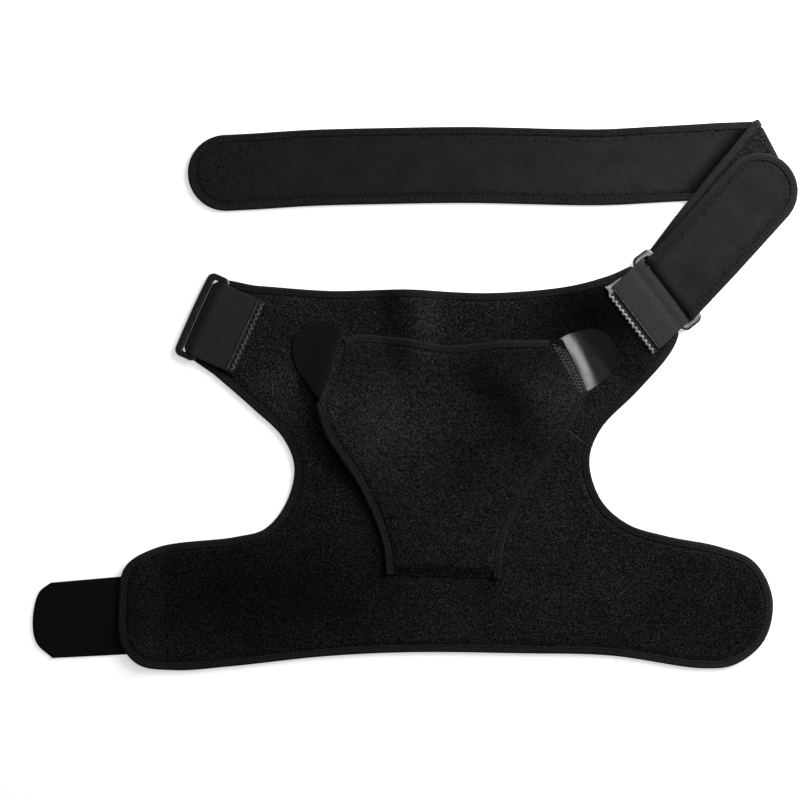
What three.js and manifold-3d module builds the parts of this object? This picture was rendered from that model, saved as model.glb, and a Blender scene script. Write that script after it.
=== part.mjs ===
// Shoulder brace for one shoulder, lying open and flat with its outer face up.
// Millimetres. +X runs along the brace's length, +Y towards the strap, +Z up from the surface it lies on.
// The origin is the middle of the brace's bounding box, on that surface.
import * as THREE from 'three';
import { mergeVertices } from 'three/addons/utils/BufferGeometryUtils.js';
import Module from 'manifold-3d';

const wasm = await Module();
wasm.setup();

// Driving dimensions
const CLOTH = 3.4; // foam rubber with a brushed loop face
const GAP = 0.3; // between pieces that touch
const LIE = 0.2; // height of tapes and straps above the surface
const TAPE = 0.8; // folded binding tape
const TAPE_WIDTH = 5; // from the rim to the tape's edge
const BESIDE_CORNER = 8; // bare stretch of a rim at each sharp corner
const TAPE_PROUD = 0.1; // how far the tape stands above the cloth
const TONGUE_LOW = LIE + TAPE + GAP; // the rim of the cloth, pressed thin inside the tape
const TONGUE_HIGH = CLOTH + TAPE_PROUD - TAPE - GAP;
const WEBBING = 1.4;
const WEBBING_WIDTH = 50;
const TAB = 1.0; // moulded hook tab
const HOOK_TAB = 1.6; // hook tab of the cuff
const RING = { length: 60, width: 16, thick: 3.6, slotLength: 52.8, innerBar: 4.5, outerBar: 5 };
const RING_ROUND = { corner: 4.5, slotCorner: 1.2, edge: 1.2, bow: 0.7 }; // radii, bevel and bow of the outer bar
const STRAP_WIDTH = 50.8;
const STRAP_THICK = 3;
const STRAP_PROUD = 0.2; // how far the strap's tape stands off its faces
const STRAP_RIM = STRAP_THICK / 2 + STRAP_PROUD;
const STRAP_LOW = STRAP_RIM + LIE; // middle of the lowest layer of strap
const LAYER_GAP = 0.4; // between two layers of strap
const LAYER = 2 * STRAP_RIM + LAYER_GAP;
const CLOTH_TO_RING = 10.1; // from a ring's middle to the end of the cloth
const OUTLINE_TOLERANCE = 0.2; // how far a faceted rim may stray from its smooth line
const CENTRE = { x: -0.5, y: 0.75 }; // middle of the bounding box, from where the tables below are measured

// Rim of the opened cloth, clockwise from the corner by the left ring. Corners are sharp.
const BODY = [
  { x: -120, y: 74, corner: true },
  { x: -97, y: 72.2 },
  { x: -57, y: 69.4 },
  { x: -8, y: 70.2 },
  { x: 50, y: 68 },
  { x: 102, y: 72.4 },
  { x: 127, y: 78.8 },
  { x: 142.9, y: 85, corner: true },
  { x: 174.6, y: 43.6, corner: true },
  { x: 171.5, y: 31 },
  { x: 149, y: 3.5 },
  { x: 123.5, y: -23 },
  { x: 116.2, y: -44 },
  { x: 124, y: -70 },
  { x: 142, y: -86 },
  { x: 168, y: -94 },
  { x: 203, y: -101 },
  { x: 226, y: -111 },
  { x: 238.2, y: -136 },
  { x: 232.5, y: -163.5 },
  { x: 213, y: -179.5 },
  { x: 192, y: -182 },
  { x: 130, y: -173.5 },
  { x: 70, y: -172 },
  { x: -3, y: -171.3 },
  { x: -60, y: -174 },
  { x: -123, y: -180.7 },
  { x: -160, y: -183.3 },
  { x: -184, y: -179.5 },
  { x: -195.8, y: -165 },
  { x: -197.2, y: -140 },
  { x: -193, y: -114.5 },
  { x: -172, y: -101.5 },
  { x: -120, y: -94.5 },
  { x: -100, y: -89 },
  { x: -86, y: -72 },
  { x: -80.4, y: -48 },
  { x: -88, y: -28.5 },
  { x: -108, y: -9 },
  { x: -143.7, y: 22, corner: true },
];

// Rim of the compression flap, clockwise from its upper left corner
const FLAP = [
  { x: -47.5, y: 37.5, corner: true },
  { x: -38, y: 40 },
  { x: -10, y: 38 },
  { x: 23, y: 33 },
  { x: 57, y: 36 },
  { x: 98, y: 36.7, corner: true },
  { x: 114.7, y: 2, corner: true },
  { x: 108.5, y: -11 },
  { x: 82, y: -54 },
  { x: 69, y: -75 },
  { x: 60, y: -96 },
  { x: 56.7, y: -122, corner: true },
  { x: -19.3, y: -119.5, corner: true },
  { x: -22, y: -98 },
  { x: -37, y: -61.5 },
  { x: -60, y: -25 },
  { x: -65.3, y: -8, corner: true },
];
const FLAP_TAPES = { top: [0, 5], right: [6, 11], left: [12, 16] }; // rows from which and to which a tape runs

// The seam between yoke and cuff is an arc that rises under the flap
const SEAM = { left: -80.7, right: 117, y: -34, rise: 38, beyond: 1.25, pieces: 16 };
const FAR = 300; // beyond all of the cloth

// Moulded tabs at the flap's upper corners, from the hidden root round the free edge
const TAB_RIGHT = [
  { x: 91, y: 31.5, corner: true },
  { x: 98.5, y: 39 },
  { x: 108, y: 42 },
  { x: 118.7, y: 44 },
  { x: 127, y: 40.5 },
  { x: 134, y: 28.5 },
  { x: 131, y: 16.5 },
  { x: 124, y: 8.5 },
  { x: 106.5, y: -3, corner: true },
];
const TAB_LEFT = [
  { x: -58.5, y: -8, corner: true },
  { x: -69, y: 4.5 },
  { x: -79.5, y: 20 },
  { x: -80.7, y: 37 },
  { x: -71, y: 47.5 },
  { x: -60, y: 49 },
  { x: -50.3, y: 42.5 },
  { x: -40, y: 31.5, corner: true },
];
// Where each tab leaves the flap, which way, and how far on it reaches the yoke
const TAB_ROOTS = {
  right: { x: 106, y: 19, towards: 25, reach: 22 },
  left: { x: -57, y: 16, towards: 158, reach: 22 },
};

// Hook tab of the cuff, from its hidden root
const HOOK_OUTLINE = [
  { x: -187.5, y: -120.2, corner: true },
  { x: -187.5, y: -172.6, corner: true },
  { x: -241.5, y: -175.3, corner: true },
  { x: -252, y: -165.5 },
  { x: -254.8, y: -151.5 },
  { x: -250.5, y: -131.5 },
  { x: -242.7, y: -125, corner: true },
];

// The rings: where each lies, the way from it into the cloth, its height and how much that side is raised
const RING_LEFT = { x: -141.3, y: 51.9, inboard: -24.5, height: 3.1, tilt: 7.5 };
const RING_RIGHT = { x: 167.3, y: 69.8, inboard: 217.4, height: STRAP_LOW + LAYER, tilt: 0 };

// The webbing over each ring: underside on the cloth, lowest and highest faces at the bar, how near the
// ring's middle it reaches in the slot, ends of its two layers on the cloth, and its skew per millimetre
const LOOP_LEFT = { cloth: 3.8, under: 0.2, over: 7.4, fold: -2, upper: 29.6, lower: 34, skew: 0, shift: 0.4 };
const LOOP_RIGHT = { cloth: 7.3, under: 2.1, over: 9.3, fold: 1.7, upper: 28.4, lower: 32, skew: 0.1, shift: 0.5 };
const LOOP_ROUND = { outside: 1.2, inside: 0.8, behindBar: 0.4, slope: 4 }; // its rounded turns and its slope down

// The strap's course: the middle of its first run, the way of the line it folds over there, and its free end
const STRAP_RUN = [
  { x: -151.3, y: 146.8 },
  { x: -110, y: 148.7 },
  { x: -70, y: 151.2 },
  { x: -20, y: 152.5 },
  { x: 35, y: 153.2 },
  { x: 123, y: 151.7 },
  { x: 160, y: 153.5 },
  { x: 200, y: 155.8 },
  { x: 237.7, y: 158.7 },
];
const STRAP_FOLD_WAY = 117.8;
const STRAP_AT_RING = { outwards: 4.6, shift: -0.6, narrowed: 0.988 };
const STRAP_END = { x: 245.5, y: 154 };
const STRAP_SQUARING = 36; // length over which the strap turns square after a fold
const STRAP_DROP = { from: 74, to: 104 }; // where the second run comes down off the first
// Where each run's lines across the strap lie, along the run
const STRAP_LINES = {
  first: [0, 24, 40, 66, 96, 132, 176, 220, 262, 300, 328, 353],
  second: [18, 36, 74, 82, 90, 97],
  third: [18, 36, 60],
};
const STRAP_END_TURNS = [10, 30, 50, 70, 90]; // angles of the facets round a strap's end
const STRAP_END_CLEAR = 2; // least stretch between those facets and the next line across

// How the cloth lies: mounds raised off the surface, each a smooth hump inside an ellipse,
// and ends that ramp up to what they lie on
const MOUNDS = [
  { of: 'crest over the yoke', x: -3, y: 66, rx: 24, ry: 62, turn: 0, height: 7 },
];
const RAMPS = [
  { of: 'end at the right ring', x: 167.3, y: 69.8, towards: 217.4, full: 34, flat: 64, height: 3.5 },
  { of: 'cuff end on its hook tab', x: -197, y: -150, towards: 0, full: 11.5, flat: 32, height: 2.2 },
];
const FLAP_MOUNDS = [
  { of: 'lifted left wing', x: -68, y: -12, rx: 66, ry: 98, turn: 0, height: 9.5 },
  { of: 'right hump', x: 79, y: 8, rx: 46, ry: 70, turn: 27, height: 7 },
];

// Lines of the grid on which every cloth surface is worked out, closer where the cloth is humped
const GRID_X = [
  -200, -185, -165, -130, -90, -78, -66, -54, -42, -30, -20, -12, -3, 6, 16, 30, 45, 60, 74, 88, 102, 118, 134,
  150, 166, 180, 210, 245,
];
const GRID_Y = [-192, -150, -122, -104, -86, -68, -50, -34, -18, -4, 10, 24, 38, 54, 72, 90];
const CUT = { low: -5, high: 60 }; // depth of a vertical cut through all the cloth

const rad = THREE.MathUtils.degToRad;
const { lerp, smoothstep, smootherstep } = THREE.MathUtils;

// Heights of the cloth

function mound(m, x, y) {
  const c = Math.cos(rad(m.turn));
  const s = Math.sin(rad(m.turn));
  const across = ((x - m.x) * c + (y - m.y) * s) / m.rx;
  const along = ((y - m.y) * c - (x - m.x) * s) / m.ry;
  const inside = Math.max(0, 1 - across * across - along * along);
  return m.height * inside * inside;
}

function awayFrom(place, x, y) {
  return (x - place.x) * Math.cos(rad(place.towards)) + (y - place.y) * Math.sin(rad(place.towards));
}

function lay(x, y) {
  const mounds = MOUNDS.reduce((sum, m) => sum + mound(m, x, y), 0);
  return RAMPS.reduce((sum, r) => sum + r.height * (1 - smoothstep(awayFrom(r, x, y), r.full, r.flat)), mounds);
}

function flapLay(x, y) {
  const lift = FLAP_MOUNDS.reduce((sum, m) => sum + mound(m, x, y), 0);
  return lay(x, y) + CLOTH + GAP + lift;
}

function cell(lines, value) {
  const after = lines.findIndex((line) => line > value);
  return THREE.MathUtils.clamp(after === -1 ? lines.length - 2 : after - 1, 0, lines.length - 2);
}

// Height on the grid's own triangles, so that pieces laid on each other never cross
function onGrid(height, x, y) {
  const i = cell(GRID_X, x);
  const j = cell(GRID_Y, y);
  const u = (x - GRID_X[i]) / (GRID_X[i + 1] - GRID_X[i]);
  const v = (y - GRID_Y[j]) / (GRID_Y[j + 1] - GRID_Y[j]);
  const near = height(GRID_X[i], GRID_Y[j]);
  const far = height(GRID_X[i + 1], GRID_Y[j + 1]);
  const side = u > v ? height(GRID_X[i + 1], GRID_Y[j]) : height(GRID_X[i], GRID_Y[j + 1]);
  const most = Math.max(u, v);
  return near + (side - near) * most + (far - side) * Math.min(u, v);
}

// Outlines

function smoothStretch(rows, step) {
  const curve = new THREE.CatmullRomCurve3(rows.map((row) => new THREE.Vector3(row.x, row.y, 0)), false, 'centripetal');
  const count = Math.max(1, Math.round(curve.getLength() / step));
  return curve.getSpacedPoints(count);
}

// A smooth closed line through the rows, broken only at the corners, as points about a step apart
function smoothLoop(rows, step = 2) {
  const start = rows.findIndex((row) => row.corner);
  const turned = [...rows.slice(start), ...rows.slice(0, start), rows[start]];
  const points = [];
  let stretch = [];
  for (const row of turned) {
    stretch.push(row);
    if (row.corner && stretch.length > 1) {
      points.push(...smoothStretch(stretch, step).slice(0, -1));
      stretch = [row];
    }
  }
  return points;
}

// Keeps the fewest rows of numbers that stay within the tolerance of all of them
function thin(rows, tolerance) {
  const last = rows.length - 1;
  const first = rows[0];
  const span = rows[last].map((value, k) => value - first[k]);
  const squared = span.reduce((sum, value) => sum + value * value, 0) || 1;
  let worst = 0;
  let at = 0;
  for (let i = 1; i < last; i += 1) {
    const off = rows[i].map((value, k) => value - first[k]);
    const along = off.reduce((sum, value, k) => sum + value * span[k], 0) / squared;
    const miss = Math.hypot(...off.map((value, k) => value - along * span[k]));
    if (miss > worst) {
      worst = miss;
      at = i;
    }
  }
  if (worst <= tolerance) return [first, rows[last]];
  return [...thin(rows.slice(0, at + 1), tolerance).slice(0, -1), ...thin(rows.slice(at), tolerance)];
}

// Outline points with the outward way at each, mitred; outward is on the left of a clockwise line
function withOutward(points, closed) {
  const count = points.length;
  return points.map((point, i) => {
    const before = points[closed ? (i + count - 1) % count : Math.max(i - 1, 0)];
    const after = points[closed ? (i + 1) % count : Math.min(i + 1, count - 1)];
    const sides = [[before, point], [point, after]].filter(([a, b]) => a !== b);
    const normals = sides.map(([a, b]) => new THREE.Vector2(a.y - b.y, b.x - a.x).normalize());
    const mean = new THREE.Vector2();
    normals.forEach((normal) => mean.add(normal));
    mean.normalize();
    const outward = mean.clone().multiplyScalar(1 / Math.max(0.5, mean.dot(normals[0])));
    return { x: point.x, y: point.y, outward };
  });
}

function moved(row, distance) {
  return new THREE.Vector2(row.x + row.outward.x * distance, row.y + row.outward.y * distance);
}

// A rim: the outline points that follow both the line and the lie of the cloth under the tape.
// Points beside a sharp corner are left out, so that the rim can be set in by the tape's width.
function rim(points, height, closed, corners = []) {
  const dense = withOutward(points, closed);
  const loop = closed ? [...dense, dense[0]] : dense;
  const rows = loop.map((row) => {
    const inner = moved(row, -TAPE_WIDTH);
    return [row.x, row.y, onGrid(height, row.x, row.y), onGrid(height, inner.x, inner.y)];
  });
  const kept = thin(rows, OUTLINE_TOLERANCE).map(([x, y]) => ({ x, y })).filter((point) => corners.every((corner) => {
    const distance = Math.hypot(point.x - corner.x, point.y - corner.y);
    return distance < 0.01 || distance > BESIDE_CORNER;
  }));
  return withOutward(closed ? kept.slice(0, -1) : kept, closed);
}

function clothRim(outline, height) {
  return rim(smoothLoop(outline), height, true, outline.filter((row) => row.corner));
}

// Solids

// A mesh of the faces, turned so that they point outwards
function fromFaces(positions, faces) {
  const volume = faces.reduce((sum, [a, b, c]) => {
    const [p, q, r] = [positions[a], positions[b], positions[c]];
    const cross = [q[1] * r[2] - q[2] * r[1], q[2] * r[0] - q[0] * r[2], q[0] * r[1] - q[1] * r[0]];
    return sum + p[0] * cross[0] + p[1] * cross[1] + p[2] * cross[2];
  }, 0);
  const outward = volume < 0 ? faces.map(([a, b, c]) => [a, c, b]) : faces;
  const geometry = new THREE.BufferGeometry();
  geometry.setAttribute('position', new THREE.BufferAttribute(new Float32Array(positions.flat()), 3));
  geometry.setIndex(outward.flat());
  geometry.computeVertexNormals();
  return geometry;
}

function toSolid(geometry) {
  const bare = geometry.clone();
  bare.deleteAttribute('normal');
  bare.deleteAttribute('uv');
  const merged = mergeVertices(bare, 1e-4);
  return new wasm.Manifold(new wasm.Mesh({
    numProp: 3,
    vertProperties: new Float32Array(merged.attributes.position.array),
    triVerts: new Uint32Array(merged.index.array),
  }));
}

function toGeometry(solid) {
  const mesh = solid.getMesh();
  const geometry = new THREE.BufferGeometry();
  geometry.setAttribute('position', new THREE.BufferAttribute(new Float32Array(mesh.vertProperties), 3));
  geometry.setIndex(new THREE.BufferAttribute(new Uint32Array(mesh.triVerts), 1));
  geometry.computeVertexNormals();
  return geometry;
}

function upright(points, low, high) {
  const shape = new THREE.Shape(points.map((point) => new THREE.Vector2(point.x, point.y)));
  const geometry = new THREE.ExtrudeGeometry(shape, { depth: high - low, bevelEnabled: false, steps: 1 });
  return geometry.translate(0, 0, low);
}

function cutter(points) {
  return toSolid(upright(points, CUT.low, CUT.high));
}

function linesAround(lines, low, high) {
  return lines.slice(cell(lines, low), cell(lines, high) + 2);
}

// A curved sheet over the part of the grid round some points, between two surfaces
function sheet(bottom, top, points) {
  const box = new THREE.Box2().setFromPoints(points);
  const xs = linesAround(GRID_X, box.min.x, box.max.x);
  const ys = linesAround(GRID_Y, box.min.y, box.max.y);
  const wide = xs.length;
  const layer = wide * ys.length;
  const positions = [bottom, top].flatMap((height) => ys.flatMap((y) => xs.map((x) => [x, y, height(x, y)])));
  const faces = [];
  const wall = (a, b) => faces.push([a, b, b + layer], [a, b + layer, a + layer]);
  for (let j = 0; j + 1 < ys.length; j += 1) {
    for (let i = 0; i + 1 < wide; i += 1) {
      const a = j * wide + i;
      const b = a + 1;
      const c = b + wide;
      const d = a + wide;
      faces.push([a, c, b], [a, d, c]);
      faces.push([a + layer, b + layer, c + layer], [a + layer, c + layer, d + layer]);
    }
    wall((j + 1) * wide - 1, (j + 2) * wide - 1);
    wall((j + 1) * wide, j * wide);
  }
  for (let i = 0; i + 1 < wide; i += 1) {
    wall(i, i + 1);
    wall(layer - 1 - i, layer - 2 - i);
  }
  return toSolid(fromFaces(positions, faces));
}

// Cloth cut to a rim: full thickness inside the tape, and a thin tongue that the tape is folded round
function cloth(rows, height, inset) {
  const middle = rows.map((row) => moved(row, -inset));
  const tongue = rows.map((row) => moved(row, -TAPE - GAP));
  const full = sheet(height, (x, y) => height(x, y) + CLOTH, rows).intersect(cutter(middle));
  const thinned = sheet((x, y) => height(x, y) + TONGUE_LOW, (x, y) => height(x, y) + TONGUE_HIGH, rows);
  return full.add(thinned.intersect(cutter(tongue)));
}

// A section carried along frames; each frame turns a row of the section into a point
function sweep(frames, section, closed) {
  const around = section.length;
  const positions = frames.flatMap((place) => section.map((row) => place(...row)));
  const faces = [];
  const links = closed ? frames.length : frames.length - 1;
  for (let k = 0; k < links; k += 1) {
    const here = k * around;
    const next = ((k + 1) % frames.length) * around;
    for (let i = 0; i < around; i += 1) {
      const j = (i + 1) % around;
      faces.push([here + i, next + i, next + j], [here + i, next + j, here + j]);
    }
  }
  if (!closed) {
    const end = (frames.length - 1) * around;
    const contour = section.map(([out, up]) => new THREE.Vector2(out, up));
    const clockwise = THREE.ShapeUtils.isClockWise(contour);
    for (const [a, b, c] of THREE.ShapeUtils.triangulateShape(contour, [])) {
      const cap = clockwise ? [a, c, b] : [a, b, c];
      faces.push(cap, [end + cap[0], end + cap[2], end + cap[1]]);
    }
  }
  return fromFaces(positions, faces);
}

// Binding tape folded round a rim: an open channel with its mouth inwards
function channel(low, high) {
  return [
    [-TAPE_WIDTH, low],
    [0, low],
    [0, high],
    [-TAPE_WIDTH, high],
    [-TAPE_WIDTH, high - TAPE],
    [-TAPE, high - TAPE],
    [-TAPE, low + TAPE],
    [-TAPE_WIDTH, low + TAPE],
  ];
}

function binding(rows, height, closed) {
  const frames = rows.map((row) => (out, up) => {
    const { x, y } = moved(row, out);
    return [x, y, onGrid(height, x, y) + up];
  });
  return sweep(frames, channel(LIE, CLOTH + TAPE_PROUD), closed);
}

// Yoke and cuff

function seamLine(offset) {
  const half = (SEAM.right - SEAM.left) / 2;
  const radius = (half * half + SEAM.rise * SEAM.rise) / (2 * SEAM.rise);
  const reach = Math.asin(half / radius) * SEAM.beyond;
  const arc = new THREE.ArcCurve(
    (SEAM.left + SEAM.right) / 2,
    SEAM.y + SEAM.rise - radius,
    radius + offset,
    Math.PI / 2 + reach,
    Math.PI / 2 - reach,
    true,
  );
  return arc.getPoints(SEAM.pieces);
}

// All of the cloth on one side of the seam: up is 1 for the yoke's side and -1 for the cuff's
function sideOfSeam(offset, up) {
  const line = seamLine(offset);
  const start = line[0];
  const end = line.at(-1);
  return cutter([
    ...line,
    { x: FAR, y: end.y },
    { x: FAR, y: up * FAR },
    { x: -FAR, y: up * FAR },
    { x: -FAR, y: start.y },
  ]);
}

// Flap

function flapTape([from, to]) {
  const line = smoothStretch(FLAP.slice(from, to + 1), 2);
  return binding(rim(line, flapLay, false), flapLay, false);
}

// A tab leaves the flap's underside at its rim and comes down on to the yoke
function tab(outline, root) {
  const dense = smoothLoop(outline).map(({ x, y }) => [x, y]);
  const line = thin([...dense, dense[0]], OUTLINE_TOLERANCE).slice(0, -1).map(([x, y]) => new THREE.Vector2(x, y));
  const bottom = (x, y) => {
    const drop = smootherstep(awayFrom(root, x, y), 0, root.reach);
    const onYoke = lay(x, y) + CLOTH + TAPE_PROUD + GAP;
    const underFlap = Math.max(onYoke, flapLay(x, y) - GAP - TAB);
    return lerp(underFlap, onYoke, drop);
  };
  const solid = sheet(bottom, (x, y) => bottom(x, y) + TAB, line);
  return toGeometry(solid.intersect(cutter(line)));
}

// Rings and webbing, made with X from the ring's middle into the cloth and Y along the bars

function ring() {
  const { length, width, thick, slotLength, innerBar, outerBar } = RING;
  const { corner, slotCorner, edge, bow } = RING_ROUND;
  const outer = { radius: corner, outward: -width / 2, inward: width / 2, half: length / 2 };
  const slot = {
    radius: slotCorner,
    outward: outerBar - width / 2,
    inward: width / 2 - innerBar,
    half: slotLength / 2,
  };
  const cornerPoint = (line, inward, end, angle) => new THREE.Vector2(
    (inward ? line.inward - line.radius : line.outward + line.radius) + line.radius * Math.cos(rad(angle)),
    end * (line.half - line.radius) + line.radius * Math.sin(rad(angle)),
  );
  const stations = [];
  const addCorner = (inward, end, from) => [0, 30, 60, 90].forEach((turn) => {
    stations.push([outer, slot].map((line) => cornerPoint(line, inward, end, from + turn)));
  });
  addCorner(true, 1, 0);
  addCorner(false, 1, 90);
  [length / 4, 0, -length / 4].forEach((y) => {
    stations.push([outer, slot].map((line) => new THREE.Vector2(line.outward, y)));
  });
  addCorner(false, -1, 180);
  addCorner(true, -1, 270);
  const frames = stations.map(([out, into]) => {
    const way = out.clone().sub(into).normalize();
    const bowed = out.x < 0 ? bow * Math.max(0, 1 - (2 * out.y / length) ** 2) : 0;
    return (onOuter, inset, up) => {
      const point = onOuter ? out.clone().addScaledVector(way, -inset) : into.clone().addScaledVector(way, inset);
      return [point.x - bowed, point.y, up];
    };
  });
  const half = thick / 2;
  const low = half - edge;
  const section = [
    [false, 0, -low],
    [false, edge, -half],
    [true, edge, -half],
    [true, 0, -low],
    [true, 0, low],
    [true, edge, half],
    [false, edge, half],
    [false, 0, low],
  ];
  return sweep(frames, section, true);
}

function placeRing(mesh, place) {
  mesh.position.set(place.x, place.y, place.height);
  mesh.rotation.set(0, -rad(place.tilt), rad(place.inboard), 'ZYX');
  return mesh;
}

// Webbing doubled over the ring's inner bar: its section, with the hole for the bar, carried along the bar
function webbingLoop(loop) {
  const { outside, inside, behindBar, slope } = LOOP_ROUND;
  const bar = RING.width / 2;
  const down = CLOTH_TO_RING - GAP; // it comes down between the cloth's end and the bar
  const wall = bar + behindBar;
  const inFold = loop.fold + WEBBING;
  const onCloth = loop.cloth + WEBBING;
  const ceiling = loop.over - WEBBING;
  const floor = loop.under + WEBBING;
  const section = new THREE.Shape([
    [loop.lower, loop.cloth],
    [down, loop.cloth],
    [down, loop.under + outside],
    [down - outside, loop.under],
    [loop.fold + outside, loop.under],
    [loop.fold, loop.under + outside],
    [loop.fold, loop.over - outside],
    [loop.fold + outside, loop.over],
    [bar, loop.over],
    [bar + slope, onCloth + WEBBING],
    [loop.upper, onCloth + WEBBING],
    [loop.upper, onCloth],
    [loop.lower, onCloth],
  ].map(([x, z]) => new THREE.Vector2(x, z)));
  section.holes.push(new THREE.Path([
    [wall, ceiling - behindBar],
    [wall - behindBar, ceiling],
    [inFold + inside, ceiling],
    [inFold, ceiling - inside],
    [inFold, floor + inside],
    [inFold + inside, floor],
    [wall - inside, floor],
    [wall, floor + inside],
  ].map(([x, z]) => new THREE.Vector2(x, z))));
  const geometry = new THREE.ExtrudeGeometry(section, { depth: WEBBING_WIDTH, bevelEnabled: false, steps: 1 });
  geometry.translate(0, 0, -WEBBING_WIDTH / 2 - loop.shift).rotateX(Math.PI / 2);
  const spot = geometry.attributes.position;
  for (let i = 0; i < spot.count; i += 1) spot.setY(i, spot.getY(i) + loop.skew * (spot.getX(i) - loop.fold));
  return geometry;
}

function placeLoop(mesh, place) {
  mesh.position.set(place.x, place.y, 0);
  mesh.rotation.z = rad(place.inboard);
  return mesh;
}

// Strap

const flatWay = (degrees) => new THREE.Vector3(Math.cos(rad(degrees)), Math.sin(rad(degrees)), 0);
const UP = new THREE.Vector3(0, 0, 1);

// Half a turn of strap about a level axis: it leaves from below and comes back above
function halfTurn(centre, outwards, radius, across, facing, steps) {
  return Array.from({ length: steps + 1 }, (_, k) => {
    const turn = (Math.PI * k) / steps;
    const spoke = outwards.clone().multiplyScalar(Math.sin(turn)).addScaledVector(UP, -Math.cos(turn));
    return {
      middle: centre.clone().addScaledVector(spoke, radius),
      across: across.clone(),
      face: spoke.clone().multiplyScalar(facing),
    };
  });
}

// A level or sloping run of strap from one line across it to another, squared to its own heading between
function run(from, to, face, stops) {
  const level = to.middle.clone().sub(from.middle).setZ(0);
  const length = level.length();
  const heading = level.normalize();
  const square = new THREE.Vector3(-heading.y, heading.x, 0);
  if (square.dot(from.across) < 0) square.negate();
  return stops.map((distance) => {
    const middle = from.middle.clone().addScaledVector(heading, distance);
    const drop = smoothstep(distance, STRAP_DROP.from, STRAP_DROP.to);
    middle.z = lerp(from.middle.z, to.middle.z, drop);
    const leaving = THREE.MathUtils.clamp(1 - distance / STRAP_SQUARING, 0, 1);
    const arriving = THREE.MathUtils.clamp(1 - (length - distance) / STRAP_SQUARING, 0, 1);
    const across = square.clone().lerp(from.across, leaving).lerp(to.across, arriving);
    return { middle, across, face: face.clone() };
  });
}

// Lines across the strap all along its course, each with its middle, the way across and the way its pile faces
function strapCourse() {
  const first = smoothStretch(STRAP_RUN, 1);
  const foldAcross = flatWay(STRAP_FOLD_WAY);
  const lastHeading = first.at(-1).clone().sub(first.at(-4)).normalize();
  const skew = lastHeading.x * foldAcross.y - lastHeading.y * foldAcross.x;
  foldAcross.multiplyScalar(1 / skew);
  const lines = [];
  for (const at of STRAP_LINES.first) {
    const heading = first[Math.min(at + 1, first.length - 1)].clone().sub(first[Math.max(at - 1, 0)]).normalize();
    const middle = first[at].clone().setZ(STRAP_LOW);
    lines.push({ middle, across: new THREE.Vector3(-heading.y, heading.x, 0), face: UP.clone() });
  }
  const foldCentre = first.at(-1).clone().setZ(STRAP_LOW + LAYER / 2);
  const beyondFold = flatWay(STRAP_FOLD_WAY - 90);
  const fold = halfTurn(foldCentre, beyondFold, LAYER / 2, foldAcross, -1, 5);
  const outward = flatWay(RING_RIGHT.inboard + 180);
  const alongBar = flatWay(RING_RIGHT.inboard - 90).multiplyScalar(STRAP_AT_RING.narrowed);
  const barCentre = new THREE.Vector3(RING_RIGHT.x, RING_RIGHT.y, RING_RIGHT.height)
    .addScaledVector(outward, STRAP_AT_RING.outwards)
    .addScaledVector(alongBar, STRAP_AT_RING.shift);
  const bend = halfTurn(barCentre, outward.clone().negate(), LAYER, alongBar, 1, 6);
  const second = run(fold.at(-1), bend[0], UP.clone().negate(), STRAP_LINES.second);
  const tip = { middle: new THREE.Vector3(STRAP_END.x, STRAP_END.y, bend.at(-1).middle.z), across: new THREE.Vector3() };
  const heading = tip.middle.clone().sub(bend.at(-1).middle).normalize();
  tip.across.set(-heading.y, heading.x, 0);
  const third = run(bend.at(-1), tip, UP, STRAP_LINES.third);
  lines.push(...fold, ...second, ...bend, ...third, { ...tip, face: UP.clone() });
  let s = 0;
  lines.forEach((line, i) => {
    if (i > 0) s += line.middle.distanceTo(lines[i - 1].middle);
    line.s = s;
  });
  return lines;
}

const COURSE = strapCourse();
const STRAP_LENGTH = COURSE.at(-1).s;

// The strap's place for a spot on its flat cut: s along it, w across it and up from its middle layer
function onStrap(s, w, up) {
  const after = COURSE.findIndex((line) => line.s >= s);
  const b = Math.max(1, after === -1 ? COURSE.length - 1 : after);
  const [near, far] = [COURSE[b - 1], COURSE[b]];
  const share = (s - near.s) / (far.s - near.s);
  const point = near.middle.clone().lerp(far.middle, share);
  point.addScaledVector(near.across.clone().lerp(far.across, share), w);
  point.addScaledVector(near.face.clone().lerp(far.face, share), up);
  return point.toArray();
}

// Lines across the strap clear of its two round ends
function straightLines() {
  const clear = STRAP_WIDTH / 2 + STRAP_END_CLEAR;
  return COURSE.map((line) => line.s).filter((s) => s > clear && s < STRAP_LENGTH - clear);
}

// A band of the strap, its outline set in from the strap's own
function strapBand(inset, half) {
  const end = STRAP_WIDTH / 2;
  const radius = end - inset;
  const ends = STRAP_END_TURNS.map((turn) => ({
    s: end - radius * Math.cos(rad(turn)),
    half: radius * Math.sin(rad(turn)),
  }));
  const lines = [
    ...ends,
    ...straightLines().map((s) => ({ s, half: radius })),
    ...ends.map((line) => ({ s: STRAP_LENGTH - line.s, half: line.half })).reverse(),
  ];
  const frames = lines.map((line) => (side, up) => onStrap(line.s, side * line.half, up * half));
  return sweep(frames, [[-1, -1], [1, -1], [1, 1], [-1, 1]], false);
}

function strap() {
  const full = toSolid(strapBand(TAPE_WIDTH + GAP, STRAP_THICK / 2));
  const tongue = toSolid(strapBand(TAPE + GAP, STRAP_RIM - TAPE - GAP));
  return toGeometry(full.add(tongue));
}

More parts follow.
